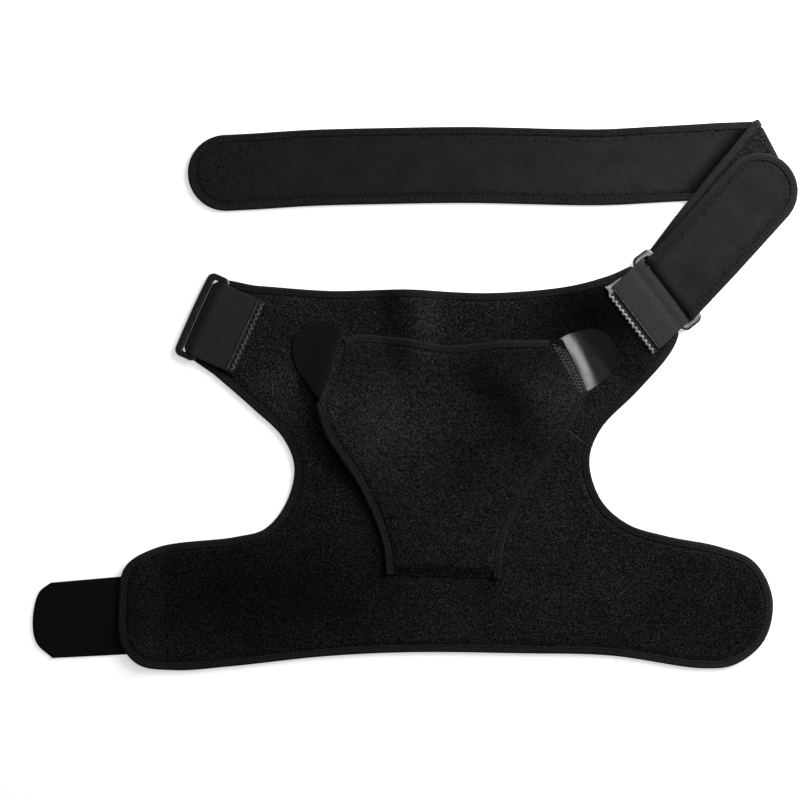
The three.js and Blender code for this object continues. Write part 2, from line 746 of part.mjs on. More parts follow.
function strapTape() {
  const radius = STRAP_WIDTH / 2;
  const turns = [...STRAP_END_TURNS.map((turn) => 90 - turn).reverse(), ...STRAP_END_TURNS.map((turn) => 90 + turn)];
  const round = (centre, from) => turns.map((turn) => {
    const way = rad(from - turn);
    return { s: centre, w: 0, os: Math.cos(way), ow: Math.sin(way), arm: radius };
  });
  const edge = (side) => straightLines().map((s) => ({ s, w: side * radius, os: 0, ow: side, arm: 0 }));
  const rows = [
    ...round(radius, 270),
    ...edge(1),
    ...round(STRAP_LENGTH - radius, 90),
    ...edge(-1).reverse(),
  ];
  const frames = rows.map((row) => (out, up) => onStrap(
    row.s + row.os * (row.arm + out),
    row.w + row.ow * (row.arm + out),
    up,
  ));
  return sweep(frames, channel(-STRAP_RIM, STRAP_RIM), true);
}

// Materials

function finish(color, roughness) {
  return new THREE.MeshStandardMaterial({ color, roughness, metalness: 0 });
}

const LOOP_CLOTH = finish(0x17171a, 0.95);
const BINDING = finish(0x232322, 0.85);
const PILE = finish(0x2c2f31, 0.9);
const ELASTIC = finish(0x3e3a3b, 0.8);
const DARK_ELASTIC = finish(0x252526, 0.8);
const PLASTIC = finish(0x16161a, 0.35);
const MOULDED = finish(0x1c1c1e, 0.25);

// The brace

const brace = new THREE.Group();

function add(name, geometry, material) {
  const mesh = new THREE.Mesh(geometry, material);
  mesh.name = name;
  brace.add(mesh);
  return mesh;
}

const bodyRim = clothRim(BODY, lay);
const body = cloth(bodyRim, lay, TAPE_WIDTH + GAP);
add('yoke_panel', toGeometry(body.intersect(sideOfSeam(GAP / 2, 1))), LOOP_CLOTH);
add('cuff_panel', toGeometry(body.intersect(sideOfSeam(-GAP / 2, -1))), LOOP_CLOTH);
add('edge_binding', binding(bodyRim, lay, true), BINDING);

const flapRim = clothRim(FLAP, flapLay);
add('compression_flap', toGeometry(cloth(flapRim, flapLay, TAPE_WIDTH + GAP)), LOOP_CLOTH);
for (const [side, rows] of Object.entries(FLAP_TAPES)) add(`flap_binding_${side}`, flapTape(rows), BINDING);
add('flap_tab_left', tab(TAB_LEFT, TAB_ROOTS.left), MOULDED);
add('flap_tab_right', tab(TAB_RIGHT, TAB_ROOTS.right), MOULDED);

placeRing(add('ring_left', ring(), PLASTIC), RING_LEFT);
placeRing(add('ring_right', ring(), PLASTIC), RING_RIGHT);
placeLoop(add('webbing_loop_left', webbingLoop(LOOP_LEFT), DARK_ELASTIC), RING_LEFT);
placeLoop(add('webbing_loop_right', webbingLoop(LOOP_RIGHT), ELASTIC), RING_RIGHT);

add('chest_strap', strap(), PILE);
add('strap_binding', strapTape(), BINDING);

add('cuff_hook_tab', upright(smoothLoop(HOOK_OUTLINE, 7), LIE, LIE + HOOK_TAB), MOULDED);

brace.position.set(-CENTRE.x, -CENTRE.y, 0);

export default brace;
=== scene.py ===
"""A shoulder brace lying open and flat with its outer face up.

Tables and sizes are in millimetres, measured as the brace's pattern is; every mesh is made in metres.
"""

import bpy
import numpy as np
from bpy.props import FloatProperty, FloatVectorProperty, PointerProperty
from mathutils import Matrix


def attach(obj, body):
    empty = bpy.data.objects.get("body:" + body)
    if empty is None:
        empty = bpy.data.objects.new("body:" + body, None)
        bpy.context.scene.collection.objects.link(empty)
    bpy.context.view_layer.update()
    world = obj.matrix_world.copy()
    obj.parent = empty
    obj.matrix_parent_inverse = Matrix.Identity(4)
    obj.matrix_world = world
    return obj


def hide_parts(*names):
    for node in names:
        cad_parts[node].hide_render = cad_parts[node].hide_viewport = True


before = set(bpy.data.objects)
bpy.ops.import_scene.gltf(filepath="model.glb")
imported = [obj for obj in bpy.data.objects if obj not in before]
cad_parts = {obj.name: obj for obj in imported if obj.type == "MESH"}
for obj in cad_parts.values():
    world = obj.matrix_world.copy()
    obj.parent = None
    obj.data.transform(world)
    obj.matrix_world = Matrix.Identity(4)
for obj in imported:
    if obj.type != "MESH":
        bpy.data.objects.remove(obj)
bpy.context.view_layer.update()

bl_info = {
    "name": "Shoulder Brace",
    "version": (1, 0, 0),
    "blender": (4, 5, 0),
    "location": "3D View > Sidebar > Brace",
    "description": "Makes a shoulder brace of bound loop cloth with webbing, rings and a long strap",
    "category": "Add Mesh",
}

MM = 0.001
BODY = "root"
CENTRE = np.array([-0.5, 0.75])  # the middle of the brace, from where the tables are measured

# Thicknesses and gaps
CLOTH = 3.4
GAP = 0.3
LIE = 0.2
TAPE = 0.8
TAPE_WIDTH = 5.0
TAPE_PROUD = 0.1
BOUND_EDGE = (TAPE_WIDTH - 0.7, TAPE_WIDTH + 2.2)  # from where to where in from the rim the cloth thickens
BESIDE_CORNER = 7.0
TONGUE_LOW = LIE + TAPE + GAP
TONGUE_HIGH = CLOTH + TAPE_PROUD - TAPE - GAP
WEBBING = 1.4
WEBBING_WIDTH = 50.0
TAB = 1.0
HOOK_TAB = 1.6
STRAP_WIDTH = 50.8
STRAP_THICK = 3.0
STRAP_RIM = STRAP_THICK / 2 + 0.2
STRAP_LOW = STRAP_RIM + LIE
LAYER = 2 * STRAP_RIM + 0.4
CLOTH_TO_RING = 10.1  # from a ring's middle to the cloth's end
STITCH_OUT = -3.3  # the tape's stitch line, from the rim
ON_TAPE = CLOTH + TAPE_PROUD - 0.12  # how high the stitches lie over the cloth's underside
ON_CLOTH = CLOTH - 0.05
ON_SEAM = ON_CLOTH + 0.12
RING = {
    "length": 60.0, "width": 16.0, "thick": 3.6, "inner": 4.5, "outer": 5.0, "bow": 0.7, "corner": 4.5,
    "slot_corner": 1.4,
}

# Rim of the opened cloth, clockwise: x and y, and True where the rim turns a sharp corner
BODY_RIM = (
    (-120, 74, True), (-97, 72.2), (-57, 69.4), (-8, 70.2), (50, 68), (102, 72.4), (127, 78.8),
    (142.9, 85, True), (174.6, 43.6, True), (171.5, 31), (149, 3.5), (123.5, -23), (116.2, -44), (124, -70),
    (142, -86), (168, -94), (203, -101), (226, -111), (238.2, -136), (232.5, -163.5), (213, -179.5),
    (192, -182), (130, -173.5), (70, -172), (-3, -171.3), (-60, -174), (-123, -180.7), (-160, -183.3),
    (-184, -179.5), (-195.8, -165), (-197.2, -140), (-193, -114.5), (-172, -101.5), (-120, -94.5),
    (-100, -89), (-86, -72), (-80.4, -48), (-88, -28.5), (-108, -9), (-143.7, 22, True),
)
# Rim of the compression flap, clockwise from its upper left corner
FLAP_RIM = (
    (-47.5, 37.5, True), (-38, 40), (-10, 38), (23, 33), (57, 36), (98, 36.7, True), (114.7, 2, True),
    (108.5, -11), (82, -54), (69, -75), (60, -96), (56.7, -122, True), (-19.3, -119.5, True), (-22, -98),
    (-37, -61.5), (-60, -25), (-65.3, -8, True),
)
# Rows of the rim that each tape binds, first and past the last, and how much shorter it is at either end
FLAP_TAPES = {"top": (0, 6, 0, 8.5), "right": (6, 12, 7.5, 0), "left": (12, 17, 0, 0)}
FLAP_FOOT = FLAP_RIM[11:13]  # the edge that is sewn down
FOOT_REACH = 6.0  # how far from it the flap gets thinner
# Inner edge of the band that is sewn over the right tab, and its rows of thread: near side, far side, teeth
TAB_BAND = ((89.6, 32.6), (108.4, -2.2))
BAND_ROWS = ((1.6, 3.6, 29), (3.4, 5.8, 33), (5.6, 7.6, 37))
# Moulded tabs at the flap's upper corners
TAB_RIGHT_RIM = (
    (91, 31.5, True), (98.5, 39), (108, 42), (118.7, 44), (127, 40.5), (134, 28.5), (131, 16.5), (124, 8.5),
    (106.5, -3, True),
)
TAB_LEFT_RIM = (
    (-58.5, -8, True), (-69, 4.5), (-79.5, 20), (-80.7, 37), (-71, 47.5), (-60, 49), (-50.3, 42.5),
    (-40, 31.5, True),
)
TAB_ROOTS = {
    "right": {"x": 106, "y": 19, "towards": 25, "reach": 11},
    "left": {"x": -57, "y": 16, "towards": 158, "reach": 22},
}
TAB_BEAD = {"in": 1.0, "width": 0.5, "height": 0.03}
TAB_CLEAR = 0.25  # how much higher the right tab lies than the left one
# Roughness and gloss of the tabs' films; the left tab's lower gloss is painted shade, a darker copy of the
# same film
FILMS = {"left": (0.17, 0.37), "right": (0.17, 0.55), "hook": (0.6, 0.08)}
# The hook tab under the cuff's left end, and the seam between yoke and cuff
HOOK_TAB_RIM = (
    (-187.5, -120.2, True), (-187.5, -172.6, True), (-241.5, -175.3, True), (-252, -165.5),
    (-254.8, -151.5), (-250.5, -131.5), (-242.7, -125, True),
)
SEAM = {"left": -80.7, "right": 117, "y": -34, "rise": 38, "beyond": 1.25, "rows": (1.4, -1.4)}

# How the cloth lies: humps inside ellipses (middle, reaches, turn, height), and ends that ramp up
MOUNDS = ((-3, 66, 24, 62, 0, 7),)
RAMPS = (
    {"x": 167.3, "y": 69.8, "towards": 217.4, "full": 34, "flat": 64, "height": 3.5},
    {"x": -197, "y": -150, "towards": 0, "full": 11.5, "flat": 32, "height": 2.2},
)
FLAP_MOUNDS = ((-68, -12, 66, 98, 0, 9.5), (79, 8, 46, 70, 27, 7))
# Ellipses of painted shade and painted light on the loops, where light falls off or shadows are lifted:
# middle, reaches, turn and share, darker where positive and lighter where negative
PAINTED_SHADING = (
    (-102, -130, 150, 66, 0, 0.6), (118, 52, 80, 48, 25, 0.8), (-33, 22, 32, 24, 0, 0.35),
    (-82, 15, 45, 62, 0, -0.6), (-12, -22, 46, 52, 0, -0.38), (54, 2, 46, 19, -38, 0.5),
    (88, -4, 26, 30, 0, -0.35), (40, -36, 48, 40, 0, 0.25), (-84, 36, 30, 34, 0, 0.28),
    (-63, -18, 19, 44, 0, -0.7), (205, -140, 70, 60, 0, 0.28),
)
DART = ((22.7, 28.5), (24, 4.7))
NICK = ((5.3, 62.7), (7.3, 56.7))
# Sewn grooves, by width and depth, and the threads, by grey
GROOVES = {"seam": (0.7, 0.6), "nick": (0.7, 0.5), "foot": (1.2, 0.3), "dart": (0.9, 0.6)}
THREADS = {"thread": 0.02, "thread_seam": 0.045, "thread_band": 0.065, "strap_stitching": 0.026}

# Rings and the webbing over them
RING_LEFT = {
    "x": -141.3, "y": 51.9, "inboard": -24.5, "height": 3.1, "tilt": 7.5, "slot": 51.8, "lean": 0.0,
    "drawn": 6.3,
}
RING_RIGHT = {
    "x": 167.3, "y": 69.8, "inboard": 217.4, "height": STRAP_LOW + LAYER, "tilt": 0, "slot": 50.4,
    "lean": 0.11, "drawn": 1.8,
}
# sunk: share of painted shade on the webbing where it dips into the ring at the fold
LOOP_LEFT = {
    "cloth": 3.8, "under": 0.2, "over": 7.4, "fold": -2.0, "upper": 29.6, "lower": 34.0, "skew": 0.0,
    "shift": 0.15, "lean": 1.0, "tucked": 2.2, "width": 52.2, "sewing": (31.4, 33.2, 0.1), "thread": 0.75,
    "grey": 0.06, "sunk": 0.75,
}
LOOP_RIGHT = {
    "cloth": 7.3, "under": 2.1, "over": 9.3, "fold": 1.7, "upper": 28.4, "lower": 32.0, "skew": 0.1,
    "shift": 0.5, "lean": 1.3, "tucked": 0.0, "width": 52.0, "sewing": (31.7, 33.2, 0.8), "thread": 0.85,
    "grey": 0.27, "sunk": 0.0,
}
# The rim's corners beside a ring: from where to where they are drawn to it, and up to where at all
BESIDE_RING = {"across": (25.2, 28), "inwards": (10.5, 24), "within": 45}
ZIGZAG_TEETH = 27
HEM = {"thread": 0.28, "grey": 0.075}
LOOSE = {"thread": 0.62, "teeth": 24}
LOOSE_THREAD = (((19.7, -26.5, 8.7), (31.4, -29.0, 8.2)), ((20.5, -25.8, 8.7), (31.4, -22.8, 8.7)))
THREAD_SIDES = 6
STITCH_SHARE = 0.72  # how much of its pitch a stitch takes up
SELVEDGE = 0.6
RIB_DEPTH = 0.14

# The strap's course
STRAP_RUN = (
    (-151.3, 146.8), (-110, 148.7), (-70, 151.2), (-20, 152.5), (35, 153.2), (123, 151.7), (160, 153.5),
    (200, 155.8), (237.7, 158.7),
)
STRAP_STEP = 3  # spacing of the lines across it
STRAP_RUNS = {"first": 345, "second": 102, "third": 106}  # up to where they go on each run
STRAP_FOLD = {"way": 117.8, "narrowed": 0.96, "after": 353}
STRAP_AT_RING = {"outwards": 4.6, "shift": -0.6, "narrowed": 0.988, "slid": 2.6}
STRAP_END = (245.5, 154)
STRAP_SQUARING = 36.0
STRAP_DROP = (74.0, 104.0)
PATCH_SEAM = 49.0  # from the strap's left end to the seam of its end patch
# How much grainier and darker the pile is towards the left end, and from where to where that fades: the end
# patch's own grain, then painted shade where less light falls
STRAP_GRAIN_AND_SHADE = ((0.45, PATCH_SEAM - 3, PATCH_SEAM + 6), (0.35, 60, 240))
# Painted shade on the strap's face towards its left end, where less light falls: share, and from where to
# where it fades
STRAP_LEFT_SHADE = (0.36, 110, 330)

# Stage
UP = np.array([0.0, 0.0, 1.0])
# Level way towards the key light, for the painted light on the cloth's slopes
TO_LIGHT = (0.93, 0.37, 0.0)
FLOOR_REACH = 6.0
# Lamps: azimuth, elevation, distance, size and share of the key's power
LAMPS = {"key": (40, 31, 0.95, 0.8, 1.0), "gloss": (24, 68.5, 1.65, 0.42, 0.25)}
PICTURE_MIDDLE = np.array([-10.0, -3.33])


# Settings

def colour(name, description, default):
    """A setting that is a colour."""
    return FloatVectorProperty(name=name, description=description, subtype="COLOR", default=default)


def measure(name, description, default, kind="LENGTH"):
    """A setting that is a length in metres, or a number of another kind."""
    return FloatProperty(name=name, description=description, default=default, unit=kind)


class BraceCloth(bpy.types.PropertyGroup):
    """Sizes and colours of the loop cloth and its tapes."""

    grid: measure("Cloth grid", "Spacing of the cloth's mesh", 0.0018)
    stitch: measure("Stitch", "Pitch of the seams' stitches", 0.0031)
    dark: colour("Ground", "Colour between the loops", (0.0011, 0.0011, 0.0013))
    light: colour("Loops", "Colour of the loops' tips", (0.108, 0.108, 0.116))
    tape: colour("Tape", "Colour of the binding tape", (0.0076, 0.0078, 0.0076))


class BraceStrap(bpy.types.PropertyGroup):
    """Colours of the strap, the webbing and the hard pieces."""

    plush: colour("Plush", "Colour of the strap's face", (0.0142, 0.0150, 0.0158))
    webbing: colour("Webbing", "Colour of the webbing at the strap", (0.030, 0.028, 0.029))
    webbing_dark: colour("Bare webbing", "Colour of the webbing at the bare ring", (0.0160, 0.0158, 0.0162))
    plastic: colour("Plastic", "Colour of the rings and tabs", (0.0030, 0.0030, 0.0032))
    rib: measure("Rib", "Pitch of the webbing's ribs", 0.0013)


class BraceStage(bpy.types.PropertyGroup):
    """The camera and the lights."""

    height: measure("Camera height", "How far the camera is above the floor", 1.8)
    view: measure("View", "Width of floor that the picture shows", 0.5333)
    key: measure("Key", "Power of the softbox at the upper right", 14.5, "POWER")
    fill: measure("Fill", "Strength of the light all round", 0.14, "NONE")


# Lines in the plane

def unit(vectors):
    """Each vector divided by its own length."""
    return vectors / np.maximum(np.linalg.norm(vectors, axis=-1, keepdims=True), 1e-9)


def lengths_along(line):
    """Distance along a line of points, from its start to each of them."""
    return np.concatenate([[0.0], np.cumsum(np.linalg.norm(np.diff(line, axis=0), axis=1))])


def resampled(line, step):
    """The same line with points evenly spaced along it, about a step apart."""
    along = lengths_along(line)
    spots = np.linspace(0, along[-1], max(1, round(along[-1] / step)) + 1)
    return np.stack([np.interp(spots, along, column) for column in line.T], axis=1)


def smooth_stretch(rows, step):
    """Centripetal Catmull-Rom: on each span the cubic through its two ends whose slopes weigh the
    neighbouring spans by the square roots of their lengths."""
    rows = np.array([row[:2] for row in rows], float)
    held = np.vstack([2 * rows[0] - rows[1], rows, 2 * rows[-1] - rows[-2]])
    gaps = np.sqrt(np.linalg.norm(np.diff(held, axis=0), axis=1))[:, None]
    a, b, c, d = held[:-3], held[1:-2], held[2:-1], held[3:]
    g0, g1, g2 = gaps[:-2], gaps[1:-1], gaps[2:]
    leave = ((b - a) / g0 - (c - a) / (g0 + g1) + (c - b) / g1) * g1
    arrive = ((c - b) / g1 - (d - b) / (g1 + g2) + (d - c) / g2) * g1
    t = np.linspace(0, 1, 24, endpoint=False)[None, :, None]
    b, c, leave, arrive = (column[:, None] for column in (b, c, leave, arrive))
    cubic = b + leave * t + (3 * (c - b) - 2 * leave - arrive) * t**2 + (2 * (b - c) + leave + arrive) * t**3
    return resampled(np.vstack([cubic.reshape(-1, 2), rows[-1]]), step)


def sharp_corners(rows):
    """The rows where the rim turns a sharp corner, as points."""
    return np.array([row[:2] for row in rows if len(row) > 2], float)


def closed_line(rows, step):
    """A smooth closed line through the rows, which start at a sharp corner, broken only at such corners."""
    rows = [*rows, rows[0]]
    breaks = [i for i, row in enumerate(rows) if len(row) > 2]
    return np.vstack([smooth_stretch(rows[a:b + 1], step)[:-1] for a, b in zip(breaks, breaks[1:])])


def clear_of_corners(line, corners, clear):
    """The line without the points that are near a sharp corner but not on it."""
    gap = np.linalg.norm(line[:, None] - corners, axis=2).min(1)
    return line[(gap < 0.01) | (gap > clear)]


def outward_ways(line, closed):
    """The outward way at each point of a clockwise line: the mean of its two sides' left-hand normals,
    lengthened so that an offset line stays parallel to both."""
    before, after = np.roll(line, 1, 0), np.roll(line, -1, 0)
    if not closed:
        before[0] = 2 * line[0] - line[1]
        after[-1] = 2 * line[-1] - line[-2]
    first, second = (unit(side)[:, ::-1] * (-1, 1) for side in (line - before, after - line))
    mean = unit(first + second)
    return mean / np.maximum(0.5, (mean * first).sum(1))[:, None]


def in_blocks(count, each):
    """Numbers up to count in blocks small enough to be worked out against that many others at once."""
    return np.array_split(np.arange(count), count * each // 3_000_000 + 1)


def inside(points, line):
    """Whether each point lies inside the closed line, by counting the sides that a ray from it crosses."""
    a, b = line, np.roll(line, -1, 0)
    rise = np.where(a[:, 1] == b[:, 1], 1.0, b[:, 1] - a[:, 1])
    found = np.zeros(len(points), bool)
    for block in in_blocks(len(points), len(line)):
        x, y = points[block, 0, None], points[block, 1, None]
        crosses = (a[:, 1] > y) != (b[:, 1] > y)
        found[block] = (crosses & (x < a[:, 0] + (y - a[:, 1]) * (b - a)[:, 0] / rise)).sum(1) % 2 == 1
    return found


def nearest_on(points, line, closed=True):
    """The nearest spot of the line to each point, and its distance."""
    a = line if closed else line[:-1]
    along = (np.roll(line, -1, 0) - line)[: len(a)]
    squared = np.maximum((along**2).sum(1), 1e-12)
    spots = np.empty_like(points)
    for block in in_blocks(len(points), len(a)):
        away = points[block, None] - a
        share = np.clip((away * along).sum(2) / squared, 0, 1)[..., None]
        spot = a + share * along
        best = np.linalg.norm(points[block, None] - spot, axis=2).argmin(1)
        spots[block] = spot[np.arange(len(block)), best]
    return spots, np.linalg.norm(points - spots, axis=1)


def turned(x, y, degrees):
    """Distances along and across a heading: x cosine plus y sine, and y cosine less x sine."""
    way = np.radians(degrees)
    return x * np.cos(way) + y * np.sin(way), y * np.cos(way) - x * np.sin(way)


def level_way(degrees):
    """The level unit vector at an angle from +X."""
    return np.array([np.cos(np.radians(degrees)), np.sin(np.radians(degrees)), 0.0])


def drawn_to_rings(line):
    """The rim with the corners beside each ring drawn towards it, by a share that grows towards the ring's
    ends and fades into the cloth."""
    line = line.copy()
    for ring in (RING_LEFT, RING_RIGHT):
        inwards, across = turned(line[:, 0] - ring["x"], line[:, 1] - ring["y"], ring["inboard"])
        across = np.abs(across)
        share = smooth_rise(across, *BESIDE_RING["across"]) * smooth_fall(inwards, *BESIDE_RING["inwards"])
        share = share * (across < BESIDE_RING["within"])
        line -= (ring["drawn"] * share)[:, None] * level_way(ring["inboard"])[:2]
    return line


# Heights of the cloth

def smooth_rise(value, low, high):
    """0 up to low, 1 from high on, and 3t squared minus 2t cubed between."""
    t = np.clip((value - low) / (high - low), 0, 1)
    return t * t * (3 - 2 * t)


def smooth_fall(value, low, high):
    """1 less the smooth rise."""
    return 1 - smooth_rise(value, low, high)


def mound(ellipse, x, y):
    """A hump inside an ellipse: its height times the square of one minus the squared distance from its
    middle."""
    middle_x, middle_y, reach_x, reach_y, heading, height = ellipse
    along, across = turned(x - middle_x, y - middle_y, heading)
    return height * np.maximum(0, 1 - (along / reach_x) ** 2 - (across / reach_y) ** 2) ** 2


def away_from(place, x, y):
    """Distance from a place, measured along its own heading."""
    return turned(x - place["x"], y - place["y"], place["towards"])[0]


def lay(x, y):
    """Height of the cloth's underside: the humps and the ramps added up."""
    ramps = sum(end["height"] * smooth_fall(away_from(end, x, y), end["full"], end["flat"]) for end in RAMPS)
    return sum(mound(hump, x, y) for hump in MOUNDS) + ramps


def flap_lay(x, y):
    """Height of the flap's underside: it lies on the cloth and has humps of its own."""
    return lay(x, y) + CLOTH + GAP + sum(mound(hump, x, y) for hump in FLAP_MOUNDS)


def on_yoke(x, y):
    """Height of a tab's underside where it lies on the yoke."""
    return lay(x, y) + CLOTH + TAPE_PROUD + GAP


def under_flap(x, y):
    """Height of a tab's underside where it lies between the yoke and the flap."""
    return np.maximum(on_yoke(x, y), flap_lay(x, y) - GAP - TAB)


def raised(height, by):
    """The surface that lies higher than another one by so much."""
    return lambda x, y: height(x, y) + by


def bent_tab_lay(x, y):
    """Height of the right tab's underside: below the flap up to its root, then down on to the yoke along a
    parabola that starts as high over the yoke as the flap's underside is."""
    root = TAB_ROOTS["right"]
    past = np.maximum(away_from(root, x, y), 0)
    at_root = np.array([x, y]) - past * level_way(root["towards"])[:2, None]
    above = np.maximum(0, flap_lay(*at_root) - GAP - TAB - on_yoke(*at_root))
    bent = on_yoke(x, y) + (above + TAB_CLEAR) * np.clip(1 - past / root["reach"], 0, 1) ** 2
    return np.where(past > 0, bent, under_flap(x, y) + TAB_CLEAR)


def tab_lay(x, y):
    """Height of the left tab's underside: below the flap at its root, then down on to the yoke along a
    quintic ease."""
    root = TAB_ROOTS["left"]
    t = np.clip(away_from(root, x, y) / root["reach"], 0, 1)
    drop = t**3 * (t * (6 * t - 15) + 10)
    return under_flap(x, y) + (on_yoke(x, y) - under_flap(x, y)) * drop


def unevenness(x, y):
    """Slight waves of soft cloth, the product of slow sines, under a tenth of a millimetre high."""
    first = np.sin(x / 9.1 + 0.7 * np.sin(y / 13.0)) * np.sin(y / 10.7 + 1.3)
    second = np.sin((x + y) / 5.3) * np.sin((x - 2 * y) / 7.9)
    return 0.055 * first + 0.03 * second


# Meshes

def grid_faces(rows, columns, close_rows=False, close_columns=False):
    """The quads of a grid of points, whose rows or columns may close on themselves."""
    i = np.arange(rows if close_rows else rows - 1)[:, None]
    j = np.arange(columns if close_columns else columns - 1)[None, :]
    i2, j2 = (i + 1) % rows, (j + 1) % columns
    corners = [a * columns + b for a, b in ((i, j), (i2, j), (i2, j2), (i, j2))]
    return np.stack(np.broadcast_arrays(*corners), axis=-1).reshape(-1, 4)


def fan(ring, middle):
    """Triangles from a ring of points to a middle one."""
    return np.stack([ring, np.roll(ring, -1), np.full(len(ring), middle)], axis=1)


def volume_of(points, triangles):
    """Signed volume inside the triangles: a sixth of the sum of the corners' triple products."""
    a, b, c = (points[triangles[:, k]] for k in range(3))
    return (a * np.cross(b, c)).sum() / 6


def make_piece(
    name, points, quads, finish, triangles=None, uv=None, values=None, replaces=(), crease=50,
):
    """A mesh object made from whole arrays, with its faces turned outwards, riding on the brace's only
    body."""
    points = np.column_stack([points[:, :2] - CENTRE, points[:, 2]]) * MM
    triangles = np.zeros((0, 3), int) if triangles is None else triangles
    halves = np.vstack([quads[:, [0, 1, 2]], quads[:, [0, 2, 3]], triangles])
    if volume_of(points - points.mean(0), halves) < 0:
        quads, triangles = quads[:, ::-1], triangles[:, ::-1]
    corners = np.concatenate([quads.ravel(), triangles.ravel()]).astype(np.int32)
    sizes = np.concatenate([np.full(len(quads), 4), np.full(len(triangles), 3)])
    mesh = bpy.data.meshes.new(name)
    mesh.vertices.add(len(points))
    mesh.vertices.foreach_set("co", points.astype(np.float32).ravel())
    mesh.loops.add(len(corners))
    mesh.loops.foreach_set("vertex_index", corners)
    mesh.polygons.add(len(sizes))
    mesh.polygons.foreach_set("loop_start", np.concatenate([[0], np.cumsum(sizes)[:-1]]).astype(np.int32))
    mesh.update(calc_edges=True)
    mesh.polygons.foreach_set("use_smooth", np.ones(len(sizes), bool))
    mesh.set_sharp_from_angle(angle=np.radians(crease))
    if uv is not None:
        layer = mesh.uv_layers.new(name="surface")
        layer.data.foreach_set("uv", (uv[corners] * MM).astype(np.float32).ravel())
    for key, column in (values or {}).items():
        attribute = mesh.attributes.new(key, "FLOAT", "POINT")
        attribute.data.foreach_set("value", column.astype(np.float32))
    mesh.materials.append(finish)
    piece = bpy.data.objects.new(name, mesh)
    bpy.context.scene.collection.objects.link(piece)
    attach(piece, BODY)
    if replaces:
        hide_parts(*replaces)
    return piece


def border_edges(quads):
    """The edges that only one quad uses, each in that quad's own direction."""
    edges = np.vstack([quads[:, [k, (k + 1) % 4]] for k in range(4)])
    keys = np.sort(edges, axis=1)
    _, first, counts = np.unique(keys, axis=0, return_index=True, return_counts=True)
    return edges[first[counts == 1]]


def trimmed_grid(line, corners, step):
    """A square grid over a closed line. The cells whose middles lie inside are kept, the border is drawn on
    to the line, and each sharp corner takes the nearest border point."""
    low, high = line.min(0) - step, line.max(0) + 2 * step
    xs, ys = np.arange(low[0], high[0], step), np.arange(low[1], high[1], step)
    x, y = np.meshgrid(xs, ys)
    points = np.column_stack([x.ravel(), y.ravel()])
    quads = grid_faces(len(ys), len(xs))[:, ::-1]
    quads = quads[inside(points[quads].mean(1), line)]
    used, quads = np.unique(quads, return_inverse=True)
    points, quads = points[used], quads.reshape(-1, 4)
    border = border_edges(quads)
    rim = np.unique(border)
    points[rim] = nearest_on(points[rim], line)[0]
    for corner in corners:
        points[rim[np.linalg.norm(points[rim] - corner, axis=1).argmin()]] = corner
    return points, quads, border


def shell(points, quads, border, top, bottom):
    """A closed shell over a trimmed grid: the grid at two heights, and a wall round its border."""
    count = len(points)
    both = np.vstack([np.column_stack([points, top]), np.column_stack([points, bottom])])
    wall = np.column_stack([border[:, 1], border[:, 0], border[:, 0] + count, border[:, 1] + count])
    return both, np.vstack([quads, quads[:, ::-1] + count, wall])


def flat_area(points, quads):
    """Area of the grid's quads, by the shoelace sum."""
    x, y = points[quads].transpose(2, 0, 1)
    return abs((x * np.roll(y, -1, 1) - y * np.roll(x, -1, 1)).sum() / 2)


def spokes(side, over):
    """The spokes of a thread's section, turned from its way to the side towards its way over."""
    turn = 2 * np.pi * np.arange(THREAD_SIDES)[:, None] / THREAD_SIDES
    return side[:, None] * np.cos(turn) + over[:, None] * np.sin(turn)


def tube(line, radius):
    """A thread: a circle of the radius carried along the line, its ends drawn in to a point."""
    along = unit(np.gradient(line, axis=0))
    side = unit(np.cross(along, UP))
    rings = line[:, None] + radius * spokes(side, np.cross(side, along))
    points = np.vstack([rings.reshape(-1, 3), line[0] - along[0] * radius, line[-1] + along[-1] * radius])
    count = len(line) * THREAD_SIDES
    first = np.arange(THREAD_SIDES)
    triangles = np.vstack([fan(first, count)[:, ::-1], fan(first + count - THREAD_SIDES, count + 1)])
    return points, grid_faces(len(line), THREAD_SIDES, close_columns=True)[:, ::-1], triangles


def stitches(middles, along, ups, length, radius):
    """One short thread for each middle: rings carried along it on an arch that dips into the cloth at both
    ends, where the rings close almost to a point."""
    steps = np.array([-1, -0.82, -0.4, 0, 0.4, 0.82, 1.0])
    widths = np.array([0.02, 0.75, 1, 1, 1, 0.75, 0.02])
    line = middles[:, None] + along[:, None] * (steps * length / 2)[:, None]
    line = line + ups[:, None] * (radius * (0.6 - 1.9 * steps**2))[:, None]
    rings = line[:, :, None] + spokes(np.cross(along, ups), ups)[:, None] * (radius * widths)[:, None, None]
    each = len(steps) * THREAD_SIDES
    caps = np.array([[0, 1, 2, 3], [0, 3, 4, 5]])
    one = grid_faces(len(steps), THREAD_SIDES, close_columns=True)
    one = np.vstack([one, caps, caps[:, ::-1] + each - THREAD_SIDES])
    quads = (one[None] + each * np.arange(len(middles))[:, None, None]).reshape(-1, 4)
    return rings.reshape(-1, 3), quads


def both_skins(upper, lower):
    """What belongs to an upper and a lower skin, row by row, in the order that goes round them."""
    return np.concatenate([upper, lower[:, ::-1]], axis=1)


def capped_tube(rows, columns):
    """The quads of a flattened tube, and those that close its ends between its upper and its lower skin."""
    upper = np.arange(columns // 2)
    lower = columns - 1 - upper
    end = np.column_stack([upper[:-1], upper[1:], lower[1:], lower[:-1]])
    return np.vstack([grid_faces(rows, columns, False, True), end, end[:, ::-1] + (rows - 1) * columns])


# Finishes

class Value:
    """A shader socket that takes part in Python sums; each sum adds its Math node."""

    def __init__(self, finish, socket):
        self.finish = finish
        self.socket = socket

    def math(self, operation, first, second):
        return self.finish.node("ShaderNodeMath", {"operation": operation}, {0: first, 1: second})

    def __add__(self, other):
        return self.math("ADD", self, other)

    def __mul__(self, other):
        return self.math("MULTIPLY", self, other)

    def __rsub__(self, other):
        return self.math("SUBTRACT", other, self)

    __radd__ = __add__


